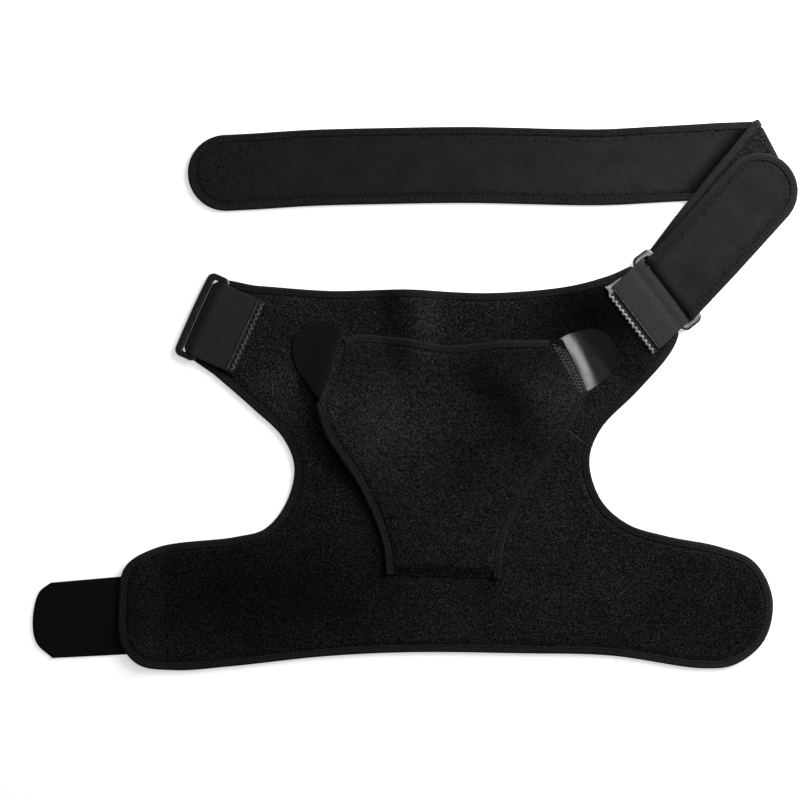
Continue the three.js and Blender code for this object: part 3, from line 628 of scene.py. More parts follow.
class Finish:
    """A material made of nodes."""

    def __init__(self, name, roughness, specular, sheen=0.0):
        self.material = bpy.data.materials.new(name)
        self.material.use_nodes = True
        self.tree = self.material.node_tree
        self.shader = self.tree.nodes["Principled BSDF"]
        self.places = self.node("ShaderNodeTexCoord", output="Object")
        self.feed("Roughness", roughness)
        self.feed("Specular IOR Level", specular)
        self.feed("Sheen Weight", sheen)
        self.feed("Sheen Roughness", 0.6)

    def node(self, kind, settings=None, sockets=None, output=0):
        made = self.tree.nodes.new(kind)
        for key, value in (settings or {}).items():
            setattr(made, key, value)
        for key, value in (sockets or {}).items():
            self.connect(made.inputs[key], value)
        return Value(self, made.outputs[output])

    def connect(self, socket, value):
        if isinstance(value, Value):
            self.tree.links.new(value.socket, socket)
        elif socket.type == "RGBA":
            socket.default_value = (*value[:3], 1)
        else:
            socket.default_value = value

    def feed(self, key, value):
        self.connect(self.shader.inputs[key], value)

    def surface(self):
        return self.node("ShaderNodeUVMap", {"uv_map": "surface"})

    def attribute(self, name):
        return self.node("ShaderNodeAttribute", {"attribute_name": name}, output="Fac")

    def noise(self, per_metre, rough=0.5, detail=2.0, output="Fac"):
        sockets = {"Vector": self.places, "Scale": per_metre, "Detail": detail, "Roughness": rough}
        return self.node("ShaderNodeTexNoise", None, sockets, output)

    def ridges(self, surface, per_metre, direction):
        """Round ridges, from 0 to 1, that many of them in a metre."""
        settings = {"wave_type": "BANDS", "bands_direction": direction, "wave_profile": "SIN"}
        # a wave of scale 1 repeats each 2 pi / 20 of a unit
        sockets = {"Vector": surface, "Scale": per_metre * np.pi / 10, "Distortion": 0.0, "Detail": 0.0}
        return self.node("ShaderNodeTexWave", settings, sockets, "Fac")

    def ramp(self, value, *stops):
        """A grey for each value, from stops that give a value and its grey."""
        greys = self.node("ShaderNodeValToRGB", None, {"Fac": value})
        elements = greys.socket.node.color_ramp.elements
        for _ in stops[2:]:
            elements.new(0.5)
        for element, (place, grey) in zip(elements, stops):
            element.position = place
            element.color = (grey, grey, grey, 1)
        return greys

    def rise(self, value, low, high):
        return self.ramp(value, (low, 0.0), (high, 1.0))

    def mixed(self, share, first, second, blend="MIX"):
        settings = {"data_type": "RGBA", "blend_type": blend}
        return self.node("ShaderNodeMix", settings, {"Factor": share, 6: first, 7: second}, 2)

    def shades(self, share, colour, dark, light):
        """From a darker to a lighter shade of a colour."""
        return self.mixed(share, shade(colour, dark), shade(colour, light))

    def bump(self, height, strength, distance):
        sockets = {"Height": height, "Strength": strength, "Distance": distance}
        return self.node("ShaderNodeBump", None, sockets)


def shade(colour, factor):
    """A colour made lighter or darker, worked out as numbers."""
    return tuple(channel * factor for channel in colour[:3])


def loop_cloth_finish(name, cloth):
    """Brushed loops: dark ground, lighter tips in clumps, a faint blue or brown tint, and a rough nap. The
    tips are painted darker or lighter inside the painted shading ellipses, and painted lighter where the
    cloth slopes towards the key light."""
    finish = Finish(name, 0.95, 0.0)
    clumps = finish.noise(620, 0.6)
    loops = finish.noise(1600, 0.6, 1.0)
    tips = finish.ramp(clumps * 0.3 + loops * 0.7, (0.40, 0.0), (0.55, 0.30), (0.70, 1.0))
    tinted = finish.mixed(0.75, cloth.light, finish.noise(700, 0.5, 1.0, "Color"), "MULTIPLY")
    nap = finish.ramp(finish.noise(28), (0.25, 0.70), (0.75, 1.0))
    # Painted light: the loops are painted lighter where the cloth's normal leans towards the key light
    sides = {0: finish.node("ShaderNodeTexCoord", output="Normal"), 1: TO_LIGHT}
    slope = finish.node("ShaderNodeVectorMath", {"operation": "DOT_PRODUCT"}, sides, "Value")
    painted_slope_light = finish.ramp(slope + 0.5, (0.25, 0.62), (0.5, 0.70), (0.62, 0.80), (0.8, 0.9))
    shown = tips * nap * painted_slope_light * (1 - finish.attribute("painted_shading"))
    finish.feed("Base Color", finish.mixed(shown, cloth.dark, tinted))
    finish.feed("Normal", finish.bump(clumps * 0.7 + loops * 0.3, 0.85, 0.0009))
    return finish.material


def tape_finish(name, cloth):
    """Woven tape: fine ribs across it, a little uneven, with painted shade where it is sewn down into its
    groove, paler where it is rubbed, and painted lighter at the brace's right ends, where more light falls."""
    finish = Finish(name, 0.8, 0.08, 0.02)
    surface = finish.surface()
    ribs = finish.ridges(surface, 1000, "X")
    weft = finish.ridges(surface, 1300, "Y")
    rub = finish.noise(1250, 0.6)
    light = finish.rise(rub * 0.7 + ribs * 0.15 + finish.noise(60, 0.5, 1.0) * 0.15, 0.34, 0.66)
    woven = finish.shades(light, cloth.tape, 0.2, 2.05)
    # Painted light: the tape is painted paler towards the brace's right ends, where the key light falls more
    # strongly
    east = finish.node("ShaderNodeSeparateXYZ", None, {"Vector": finish.places}, "X")
    paler_share = finish.ramp(east + 0.5, (0.64, 0.0), (0.735, 0.26)) * (light * 0.6 + 0.7)
    lit_east = finish.mixed(paler_share, woven, shade(cloth.tape, 5.0))
    # Painted shade in the stitch groove, darkest where the tape is drawn down most
    finish.feed("Base Color", finish.mixed(finish.attribute("sewn") * 0.75, lit_east, shade(cloth.tape, 0.12)))
    finish.feed("Normal", finish.bump(ribs * 0.5 + weft * 0.2 + rub * 0.3, 0.5, 0.00035))
    return finish.material


def plush_finish(name, strap):
    """Short smooth pile: a soft nap that lies unevenly, grainier and darker towards the tape, with a few
    specks, painted shade towards the left end, painted shadow beside the run folded over it, and loose loops
    on its back."""
    finish = Finish(name, 0.85, 0.05, 0.02)
    # edge: grain towards the tape, and grain with painted shade towards the left end
    edge = finish.attribute("edge")
    grain = finish.noise(1300, 0.7)
    rubbed = finish.rise(edge * 0.8 + grain * 0.6, 0.45, 0.95)
    lie = finish.rise(finish.noise(55) * 0.45 + grain * 0.55, 0.35, 0.65)
    grainy = finish.shades(finish.rise(grain, 0.36, 0.66), strap.plush, 0.08, 1.7)
    face = finish.mixed(rubbed, finish.shades(lie, strap.plush, 0.68, 1.3), grainy)
    cells = finish.node("ShaderNodeTexVoronoi", None, {"Vector": finish.places, "Scale": 360.0}, "Distance")
    patches = finish.rise(finish.noise(130, 0.6), 0.42, 0.58)
    specks = finish.ramp(cells, (0.22, 1.0), (0.34, 0.0)) * edge * patches
    speckled = finish.mixed(specks, face, shade(strap.plush, 0.08))
    # Painted shadow and painted shade darken the face here
    painted_shadow = finish.mixed(finish.attribute("painted_shadow"), speckled, shade(strap.plush, 0.12))
    back = finish.shades(finish.rise(finish.noise(900, 0.7), 0.38, 0.7), strap.plush, 0.10, 1.7)
    finish.feed("Base Color", finish.mixed(finish.attribute("back"), painted_shadow, back))
    finish.feed("Normal", finish.bump(grain * (0.25 + rubbed), 0.5, 0.0005))
    return finish.material


def webbing_finish(name, colour):
    """Elastic webbing: cross threads over its ribs, with painted shade between the ribs, where it dips into
    the ring at the fold and at its sewn end.
    """
    finish = Finish(name, 0.75, 0.12, 0.02)
    threads = finish.ridges(finish.surface(), 1400, "Y")
    fuzz = finish.noise(1100, 0.6)
    light = finish.rise(finish.attribute("rib") * 0.5 + threads * 0.1 + fuzz * 0.6, 0.32, 0.85)
    woven = finish.shades(light, colour, 0.12, 1.6)
    # Painted shade at the fold and the sewn end
    finish.feed("Base Color", finish.mixed(finish.attribute("sunk"), woven, shade(colour, 0.1)))
    finish.feed("Normal", finish.bump(threads * 0.4 + fuzz * 0.6, 0.45, 0.0003))
    return finish.material


def plastic_finish(name, strap):
    """Smooth moulded plastic with a fine orange peel and duller patches of wear."""
    finish = Finish(name, 0.24, 0.85)
    wear = finish.noise(160, 0.6, 3.0)
    finish.feed("Base Color", finish.shades(wear, strap.plastic, 0.8, 1.6))
    finish.feed("Roughness", finish.ramp(wear, (0.3, 0.20), (0.75, 0.34)))
    finish.feed("Normal", finish.bump(finish.noise(700), 0.12, 0.0003))
    return finish.material


def tab_finish(name, strap, roughness, gloss):
    """Satin film of the moulded tabs, with slight ripples left by the mould."""
    finish = Finish(name, roughness, gloss)
    film = finish.noise(240)
    dust = finish.noise(1800, 0.7)
    finish.feed("Base Color", finish.shades(dust, strap.plastic, 0.6, 1.5))
    finish.feed("Roughness", film * 0.08 + (roughness - 0.04))
    finish.feed("Normal", finish.bump(film * 0.6 + dust * 0.4, 0.12, 0.0003))
    return finish.material


def thread_finish(name, grey):
    """Twisted thread: fine plies, and lighter stretches of wear."""
    finish = Finish(name, 0.6, 0.15)
    plies = finish.noise(2400, 0.6)
    paler_share = finish.rise(finish.noise(520, 0.6), 0.36, 0.62)
    finish.feed("Base Color", finish.shades(plies * 0.3 + paler_share * 0.7, (grey, grey, grey * 1.02), 0.3, 1.5))
    finish.feed("Normal", finish.bump(plies, 0.3, 0.0002))
    return finish.material


def floor_finish():
    """Matt white paper that is a little bright of itself."""
    finish = Finish("paper", 0.9, 0.1)
    finish.feed("Base Color", finish.mixed(finish.noise(90), (0.90, 0.90, 0.90), (0.92, 0.92, 0.92)))
    finish.feed("Emission Color", (1.0, 1.0, 1.0))
    finish.feed("Emission Strength", 0.5)
    return finish.material


def stock(make, name, *settings):
    """A finish by name, made the first time that it is asked for."""
    return bpy.data.materials.get(name) or make(name, *settings)


def sewing_thread(name):
    """The finish of a thread in its own grey."""
    return stock(thread_finish, name, THREADS[name])


# Cloth, tape and stitches

def bound_edge(distance):
    """How much of its full thickness the cloth has at a distance from its rim: none under the tape, all of
    it a little inside the tape."""
    return smooth_rise(distance, *BOUND_EDGE)


def groove(distance, width, depth):
    """Depth of a sewn groove at a distance from its line: a bell of the width."""
    return depth * np.exp(-((distance / width) ** 2))


def cloth_panel(name, line, corners, bound, height, grooves, settings, replaces, foot=None, **resting):
    """Foam cloth cut to a closed line. Its top is the lie of the cloth plus its thickness, drawn in towards
    the bound rim and along each groove. It thins out towards its foot, where it has one. Each point has a
    value for its painted light and shade, the ellipses of that added up."""
    points, quads, border = trimmed_grid(line, corners, settings.grid / MM)
    base = height(*points.T)
    full = bound_edge(nearest_on(points, bound)[1])
    sunk = sum(groove(nearest_on(points, sewn, False)[1], width, depth) for sewn, width, depth in grooves)
    thin = 1 if foot is None else smooth_rise(nearest_on(points, foot, False)[1], 0, FOOT_REACH)
    swell = (CLOTH - TONGUE_HIGH + unevenness(*points.T) - sunk) * full
    top = base + (TONGUE_HIGH + swell) * (0.2 + 0.8 * thin)
    both, faces = shell(points, quads, border, top, base + TONGUE_LOW * (1 - full) * thin)
    # Painted light and shade: the ellipses darken or lighten the loops' colour
    values = {"painted_shading": sum(mound(patch, *both[:, :2].T) for patch in PAINTED_SHADING)}
    finish = stock(loop_cloth_finish, "brushed_loops", settings)
    piece = make_piece(name, both, faces, finish, values=values, replaces=replaces)
    area = flat_area(points, quads) * MM**2


def tape_section(low, high):
    """Section of a folded tape: its outer skin over the top, round the fold and back below, then its inner
    skin. Columns are the distance out from the rim and the height."""
    turn = np.radians(np.linspace(90, -90, 11))
    middle, half = (low + high) / 2, (high - low) / 2
    top_out = -np.array([5.0, 4.85, 4.5, 4.1, 3.75, 3.5, 3.3, 3.1, 2.8, 2.3, 1.7])
    top_up = high - np.array([0.4, 0.14, 0.02, *[0.0] * 8])
    bend = np.column_stack([-1.3 + 1.3 * np.cos(turn), middle + half * np.sin(turn)])
    below = np.column_stack([[-3.0, -5.0], [low, low]])
    back = turn[::-1]
    inner_bend = np.column_stack([-1.6 + 0.8 * np.cos(back), middle + (half - TAPE) * np.sin(back)])
    inner = [[-5.0, low + TAPE], *inner_bend, [-5.0, high - TAPE]]
    return np.vstack([np.column_stack([top_out, top_up]), bend, below, inner])


def sewn_down(out, along, pitch):
    """How far the tape's top is drawn down: a groove along the stitch line that is deepest where the thread
    goes in, and small knobs between the stitches on its inner side."""
    beat = np.cos(2 * np.pi * along / pitch)
    inner = smooth_rise(-out, -STITCH_OUT, -STITCH_OUT + 0.6)
    return groove(out - STITCH_OUT, 0.34, 1.0) * (0.30 + 0.12 * beat) + inner * (0.07 + 0.07 * beat)


def tape_piece(name, rings, section, along, sunk, closed, settings, replaces):
    """A folded tape from its section at each point along a rim, with a value for how far it is sewn down,
    which paints shade into the stitch groove.
    """
    rows, columns = rings.shape[:2]
    uv = np.dstack(np.broadcast_arrays(along[:, None], lengths_along(section))).reshape(-1, 2)
    triangles = None if closed else capped_ends(rows, columns)
    finish = stock(tape_finish, "woven_tape", settings)
    values = {"sewn": np.clip(sunk / 0.4, 0, 1).ravel()}
    quads = grid_faces(rows, columns, closed, True)
    return make_piece(name, rings.reshape(-1, 3), quads, finish, triangles, uv, values, replaces)


def tape_along(name, thread_name, line, closed, height, settings, replaces):
    """The tape's section carried along a rim, and its stitches. Each point stands over the lie of the cloth,
    and the top skin is drawn down along the stitch line, deepest at each stitch."""
    section = tape_section(LIE, CLOTH + TAPE_PROUD)
    out, up = section.T
    ways = outward_ways(line, closed)
    along = lengths_along(line)
    flat = line[:, None] + ways[:, None] * out[:, None]
    on_top = up > CLOTH - 0.5
    sunk = sewn_down(out, along[:, None], settings.stitch / MM) * on_top
    waves = 0.05 * np.sin(along / 2.3 + 1.7 * np.sin(along / 7.1))[:, None] * on_top
    rings = np.dstack([flat, height(flat[..., 0], flat[..., 1]) + up - sunk + waves])
    tape_piece(name, rings, section, along, sunk, closed, settings, replaces)
    sewn = line + ways * STITCH_OUT
    sewn = np.vstack([sewn, sewn[:1]]) if closed else sewn
    stitch_row(thread_name, sewn, raised(height, ON_TAPE), settings)


def capped_ends(rows, columns):
    """Triangles that close the two ends of a folded tape, in a strip between its outer and its inner skin."""
    outer = np.arange(24)
    inner = columns - 1 - np.interp(outer, (9, 10, 11, 21, 22, 23), (0, 1, 1, 11, 11, 12)).astype(int)
    wide = np.column_stack([outer[:-1], outer[1:], inner[:-1]])
    narrow = np.column_stack([outer[1:], inner[1:], inner[:-1]])[np.diff(inner) < 0]
    end = np.vstack([wide, narrow])
    return np.vstack([end, end[:, ::-1] + (rows - 1) * columns])


def stitch_row(name, line, height, settings, thread="thread", length=STITCH_SHARE, radius=0.19):
    """A row of stitches along a line, one for each pitch, on the surface of the given height."""
    pitch = settings.stitch / MM
    spots = resampled(line, pitch)
    middles, along = (spots[1:] + spots[:-1]) / 2, unit(np.diff(spots, axis=0))
    rise = height(*(middles + along).T) - height(*(middles - along).T)
    ways = unit(np.column_stack([along * 2, rise]))
    ups = np.cross(np.column_stack([along[:, 1], -along[:, 0], 0 * rise]), ways)
    centres = np.column_stack([middles, height(*middles.T)])
    points, quads = stitches(centres, ways, ups, pitch * length, radius)
    make_piece(name, points, quads, sewing_thread(thread), crease=180)


def seam_line(offset=0.0):
    """The seam between yoke and cuff: an arc that rises by a given height between two points."""
    half = (SEAM["right"] - SEAM["left"]) / 2
    radius = (half**2 + SEAM["rise"] ** 2) / (2 * SEAM["rise"])
    reach = np.arcsin(half / radius) * SEAM["beyond"]
    turn = np.linspace(-reach, reach, 120)
    middle = np.array([(SEAM["left"] + SEAM["right"]) / 2, SEAM["y"] + SEAM["rise"] - radius])
    return middle + (radius + offset) * np.column_stack([np.sin(turn), np.cos(turn)])


def split_by_seam(line, keep_above):
    """The part of a closed line on one side of the seam, closed along the seam itself."""
    arc = seam_line()
    above = line[:, 1] > np.interp(line[:, 0], *arc.T, left=SEAM["y"], right=SEAM["y"])
    kept = above if keep_above else ~above
    start = np.flatnonzero(kept & ~np.roll(kept, 1))[0]
    ordered = np.roll(line, -start, axis=0)[: kept.sum()]
    low, high = sorted((ordered[0, 0], ordered[-1, 0]))
    between = arc[(arc[:, 0] > low + 0.5) & (arc[:, 0] < high - 0.5)]
    return np.vstack([ordered, between[::-1] if ordered[-1, 0] > ordered[0, 0] else between])


# Strap

def half_turn(centre, outwards, radius, across, facing, steps):
    """Half a turn of strap about a level axis, from below to above: the spoke at each angle is the outward
    way times its sine less the upward way times its cosine."""
    turn = np.linspace(0, np.pi, steps + 1)[:, None]
    spoke = outwards * np.sin(turn) - UP * np.cos(turn)
    return centre + spoke * radius, np.repeat(across[None], steps + 1, 0), spoke * facing


def straight_run(start, end, face, stops):
    """Strap between two lines across it. It is squared to its own heading between them and comes down
    smoothly."""
    (a, across_a), (b, across_b) = start, end
    level = (b - a) * (1, 1, 0)
    length = np.linalg.norm(level)
    heading = level / length
    square = np.array([-heading[1], heading[0], 0.0])
    square = square if square @ across_a > 0 else -square
    distance = np.array(stops, float)[:, None]
    middle = a + heading * distance
    middle[:, 2] = a[2] + (b[2] - a[2]) * smooth_rise(distance[:, 0], *STRAP_DROP)
    across = square + (across_a - square) * np.clip(1 - distance / STRAP_SQUARING, 0, 1)
    across = across + (across_b - across) * np.clip(1 - (length - distance) / STRAP_SQUARING, 0, 1)
    return middle, across, np.repeat(face[None], len(distance), 0)


def strap_course():
    """Lines across the strap all along it: distance, middle, way across and way its pile faces, as
    columns."""
    first = smooth_stretch(STRAP_RUN, 1)
    stops = np.append(np.arange(0, STRAP_RUNS["first"], STRAP_STEP), STRAP_FOLD["after"])
    heading = unit(first[np.minimum(stops + 1, len(first) - 1)] - first[np.maximum(stops - 1, 0)])
    low = np.column_stack([first[stops], np.full(len(stops), STRAP_LOW)])
    square = np.column_stack([-heading[:, 1], heading[:, 0], 0 * stops])
    run_one = (low, square, np.repeat(UP[None], len(stops), 0))
    last = unit(first[-1] - first[-4])
    fold_across = level_way(STRAP_FOLD["way"])
    fold_across = fold_across * STRAP_FOLD["narrowed"] / (last[0] * fold_across[1] - last[1] * fold_across[0])
    fold_centre = np.array([*first[-1], STRAP_LOW + LAYER / 2])
    fold = half_turn(fold_centre, level_way(STRAP_FOLD["way"] - 90), LAYER / 2, fold_across, -1, 16)
    outward = level_way(RING_RIGHT["inboard"] + 180)
    along_bar = level_way(RING_RIGHT["inboard"] - 90) * STRAP_AT_RING["narrowed"]
    bar = np.array([RING_RIGHT["x"], RING_RIGHT["y"], RING_RIGHT["height"]])
    bar = bar + outward * STRAP_AT_RING["outwards"] + along_bar * STRAP_AT_RING["shift"]
    bend = half_turn(bar, -outward, LAYER, along_bar, 1, 20)
    slid = STRAP_AT_RING["slid"] * np.clip(np.linspace(1, -1, 21), 0, 1)
    bend[0][:] += along_bar * slid[:, None]
    second, third = (np.arange(4, STRAP_RUNS[run], STRAP_STEP) for run in ("second", "third"))
    run_two = straight_run((fold[0][-1], fold[1][-1]), (bend[0][0], bend[1][0]), -UP, second)
    tip = np.array([*STRAP_END, bend[0][-1][2]])
    heading = unit(tip - bend[0][-1])
    tip_across = np.array([-heading[1], heading[0], 0.0])
    run_three = straight_run((bend[0][-1], bend[1][-1]), (tip, tip_across), UP, third)
    end = (tip[None], tip_across[None], UP[None])
    middle, across, face = (np.vstack(part) for part in zip(run_one, fold, run_two, bend, run_three, end))
    return np.column_stack([lengths_along(middle), middle, across, face])


COURSE = strap_course()
STRAP_LENGTH = COURSE[-1, 0]
STRAP_FOLD_END = COURSE[COURSE[:, 9] < -0.99][0, 0]


def on_strap(s, w, up):
    """The place of a spot of the strap's flat cut: the middle at s, plus w across it, plus up along its
    face."""
    s, w, up = np.broadcast_arrays(s, w, up)
    middle, across, face = (
        np.stack([np.interp(s, COURSE[:, 0], column) for column in COURSE[:, k:k + 3].T], axis=-1)
        for k in (1, 4, 7)
    )
    return middle + across * w[..., None] + face * up[..., None]


def strap_stations(radius):
    """Distances along the strap and its half widths there, round at both ends."""
    end = STRAP_WIDTH / 2
    turn = np.radians(np.linspace(3, 87, 15))
    start, half = end - radius * np.cos(turn), radius * np.sin(turn)
    straight = np.arange(end + 1, STRAP_LENGTH - end - 1, 2.0)
    s = np.concatenate([start, straight, STRAP_LENGTH - start[::-1]])
    return s, np.concatenate([half, np.full(len(straight), radius), half[::-1]])


def strap_face(settings):
    """The strap's cloth: two skins over the flat cut, a full thickness apart but drawn in under the tape and
    at the patch seam. Its values say where the face is grainy (towards the left end with painted shade),
    where painted shadow and painted shade darken it, and which skin is the back."""
    radius = STRAP_WIDTH / 2
    s, half = strap_stations(radius - TAPE - GAP)
    s, w = np.broadcast_arrays(s[:, None], half[:, None] * np.sin(np.linspace(-np.pi / 2, np.pi / 2, 41)))
    from_end = radius - np.minimum(s, STRAP_LENGTH - s)
    distance = radius - np.where(from_end > 0, np.hypot(from_end, w), np.abs(w))
    full = bound_edge(distance)
    thick = STRAP_RIM - TAPE - GAP + (STRAP_THICK / 2 + TAPE + GAP - STRAP_RIM) * full
    seam = groove(s - PATCH_SEAM, 0.7, 0.35) + 0.06 * np.sin(s / 8.3) * np.sin(w / 9.0 + s / 31)
    top, bottom = on_strap(s, w, thick - seam * full), on_strap(s, w, -thick)
    # Grain and painted shade towards the left end
    near_end = sum(share * smooth_fall(s, low, high) for share, low, high in STRAP_GRAIN_AND_SHADE)
    edge = np.maximum(smooth_fall(distance, 6.5, 11), near_end)
    # Painted shadow on the first run beside the run folded over it, and painted shade towards the left end
    stops = np.linspace(STRAP_FOLD_END, STRAP_FOLD_END + STRAP_RUNS["second"] + 8, 60)
    later = on_strap(stops, radius, 0)[:, :2]
    beside = smooth_fall(nearest_on(top[..., :2].reshape(-1, 2), later, False)[1], 1, 10).reshape(s.shape)
    share, low, high = STRAP_LEFT_SHADE
    painted_shadow = np.maximum(beside * (s < STRAP_FOLD_END - 5), share * smooth_fall(s, low, high))
    skins = {"edge": (edge, edge), "back": (0 * s, 0 * s + 1), "painted_shadow": (painted_shadow, 0 * s)}
    values = {key: both_skins(*pair).ravel() for key, pair in skins.items()}
    uv = np.dstack([both_skins(s, s), both_skins(w, w)]).reshape(-1, 2)
    rings = both_skins(top, bottom)
    quads = capped_tube(*rings.shape[:2])
    finish = stock(plush_finish, "strap_pile", settings)
    return make_piece(
        "strap_cloth", rings.reshape(-1, 3), quads, finish, None, uv, values, ("chest_strap",),
    )


def strap_rim(step):
    """The strap's rim in its flat cut, as points with the outward way at each, round at both ends."""
    radius = STRAP_WIDTH / 2
    turn = np.radians(np.linspace(0, 180, 46))
    straight = np.arange(radius + step, STRAP_LENGTH - radius, step)
    sine, cosine = np.sin(turn), np.cos(turn)
    left = np.column_stack([radius - radius * sine, -radius * cosine, -sine, -cosine])
    upper = np.column_stack([straight, 0 * straight + radius, 0 * straight, 0 * straight + 1])
    right = left[::-1] * (-1, 1, -1, 1) + (STRAP_LENGTH, 0, 0, 0)
    lower = upper[::-1] * (1, -1, 1, -1)
    return np.vstack([left, upper, right, lower])


def strap_tape(cloth):
    """The strap's tape: the folded section carried round the rim of its flat cut."""
    section = tape_section(-STRAP_RIM, STRAP_RIM)
    out, up = section.T
    rim = strap_rim(0.75)
    along = lengths_along(rim[:, :2])
    sunk = sewn_down(out, along[:, None], cloth.stitch / MM) * (up > STRAP_RIM - 0.5)
    s, w = (rim[:, k, None] + rim[:, k + 2, None] * out for k in (0, 1))
    rings = on_strap(s, w, up - sunk)
    return tape_piece("strap_tape", rings, section, along, sunk, True, cloth, ("strap_binding",))


def strap_stitches(cloth):
    """Stitches of the strap's tape, on its upper and its lower skin."""
    rim = strap_rim(0.4)
    pitch = cloth.stitch / MM
    spots = resampled(rim[:, :2] + rim[:, 2:] * STITCH_OUT, pitch)
    s, w = ((spots[1:] + spots[:-1]) / 2).T
    ahead_s, ahead_w = unit(np.diff(spots, axis=0)).T
    parts = []
    for side in (1, -1):
        height = side * (STRAP_RIM - 0.1)
        centre = on_strap(s, w, height)
        ahead, behind = (on_strap(s + k * ahead_s, w + k * ahead_w, height) for k in (1, -1))
        ways = unit(ahead - behind)
        ups = on_strap(s, w, height + side) - centre
        ups = unit(ups - ways * (ups * ways).sum(1)[:, None])
        parts.append(stitches(centre, ways, ups, pitch * STITCH_SHARE, 0.22))
    (upper, quads), (lower, more) = parts
    points, quads = np.vstack([upper, lower]), np.vstack([quads, more + len(upper)])
    return make_piece("strap_thread", points, quads, sewing_thread("strap_stitching"), crease=180)


# Rings and webbing

def placed(points, place):
    """Points made with X from the ring's middle into the cloth and Y along its bars, at the ring's own
    place."""
    x, y, z = points.T
    x, z = turned(x, z, -place["tilt"])
    x, y = turned(x, y, -place["inboard"])
    return np.column_stack([x + place["x"], y + place["y"], z + place["height"]])


def placed_level(points, place):
    """The same for what isn't tilted with the ring, its heights taken from the table."""
    return placed(points, dict(place, tilt=0, height=0))


def rounded_box(half_x, half_y, radius, shift):
    """A rectangle with round corners, its middle moved along X, as the same number of points for any size."""
    arcs = []
    for k, corner in enumerate(((1, 1), (-1, 1), (-1, -1), (1, -1))):
        turn = np.linspace(0, np.pi / 2, 9) + k * np.pi / 2
        middle = np.multiply(corner, (half_x - radius, half_y - radius))
        arcs.append(middle + radius * np.column_stack([np.cos(turn), np.sin(turn)]))
    sides = []
    for arc, following in zip(arcs, [*arcs[1:], arcs[0]]):
        sides += [arc, arc[-1] + (following[0] - arc[-1]) * np.linspace(0, 1, 12)[1:-1, None]]
    return np.vstack(sides) + (shift, 0)


def ring_piece(name, place, settings, replaces):
    """A rectangular ring: a rounded section, its cosine and sine brought nearer to 1 by a square root,
    carried round between its slot and its outer edge, the outer bar bowed as a parabola, and both ends
    leaning outwards."""
    half_x, half_y = RING["width"] / 2, RING["length"] / 2
    outer = rounded_box(half_x, half_y, RING["corner"], 0)
    slot_x = (RING["width"] - RING["inner"] - RING["outer"]) / 2
    shift = (RING["outer"] - RING["inner"]) / 2
    slot = rounded_box(slot_x, place["slot"] / 2, RING["slot_corner"], shift)
    turn = 2 * np.pi * np.arange(20) / 20
    share, lift = (np.sign(wave) * np.abs(wave) ** 0.5 for wave in (np.cos(turn), np.sin(turn)))
    middle, arm = (outer + slot) / 2, (outer - slot) / 2
    flat = middle[:, None] + arm[:, None] * share[:, None]
    bow = RING["bow"] * np.maximum(0, 1 - (flat[..., 1] / half_y) ** 2) * (middle[:, None, 0] < -2)
    twist = place["lean"] * flat[..., 0] * smooth_rise(np.abs(flat[..., 1]), 20, place["slot"] / 2)
    rings = np.dstack([flat[..., 0] - bow, flat[..., 1], lift * RING["thick"] / 2 + twist])
    points, quads = placed(rings.reshape(-1, 3), place), grid_faces(*rings.shape[:2], True, True)
    finish = stock(plastic_finish, "moulded_plastic", settings)
    make_piece(name, points, quads, finish, replaces=replaces)


def rounded_path(corners, radius, step):
    """The path through the corners with each of them rounded by an arc-like quadratic of the radius."""
    corners = np.array(corners, float)
    parts = [corners[:1]]
    for a, b, c in zip(corners, corners[1:], corners[2:]):
        reach = min(radius, np.linalg.norm(b - a) * 0.49, np.linalg.norm(c - b) * 0.49)
        start, end = b + unit(a - b) * reach, b + unit(c - b) * reach
        t = np.linspace(0, 1, 8)[:, None]
        parts.append(start * (1 - t) ** 2 + 2 * b * t * (1 - t) + end * t**2)
    return resampled(np.vstack([*parts, corners[-1:]]), step)


def loop_path(loop):
    """Middle line of the webbing: along the cloth, down before the bar, under it, up through the slot, over
    it and back along its own lower layer."""
    half = WEBBING / 2
    bar = RING["width"] / 2
    down = CLOTH_TO_RING - GAP - half
    under, top, fold = loop["under"] + half, loop["over"] - half, loop["fold"] + half
    lower, upper = loop["cloth"] + half, loop["cloth"] + WEBBING + half
    return rounded_path(
        [
            (loop["lower"], lower), (down, lower), (down, under), (fold, under), (fold, top - 2.8),
            (fold - loop["lean"], top - 0.9), (bar - 3.6, top + 0.1), (bar + 0.6, top - 0.4),
            (bar + 4.6, upper), (loop["upper"], upper),
        ],
        2.0, 0.26,
    )


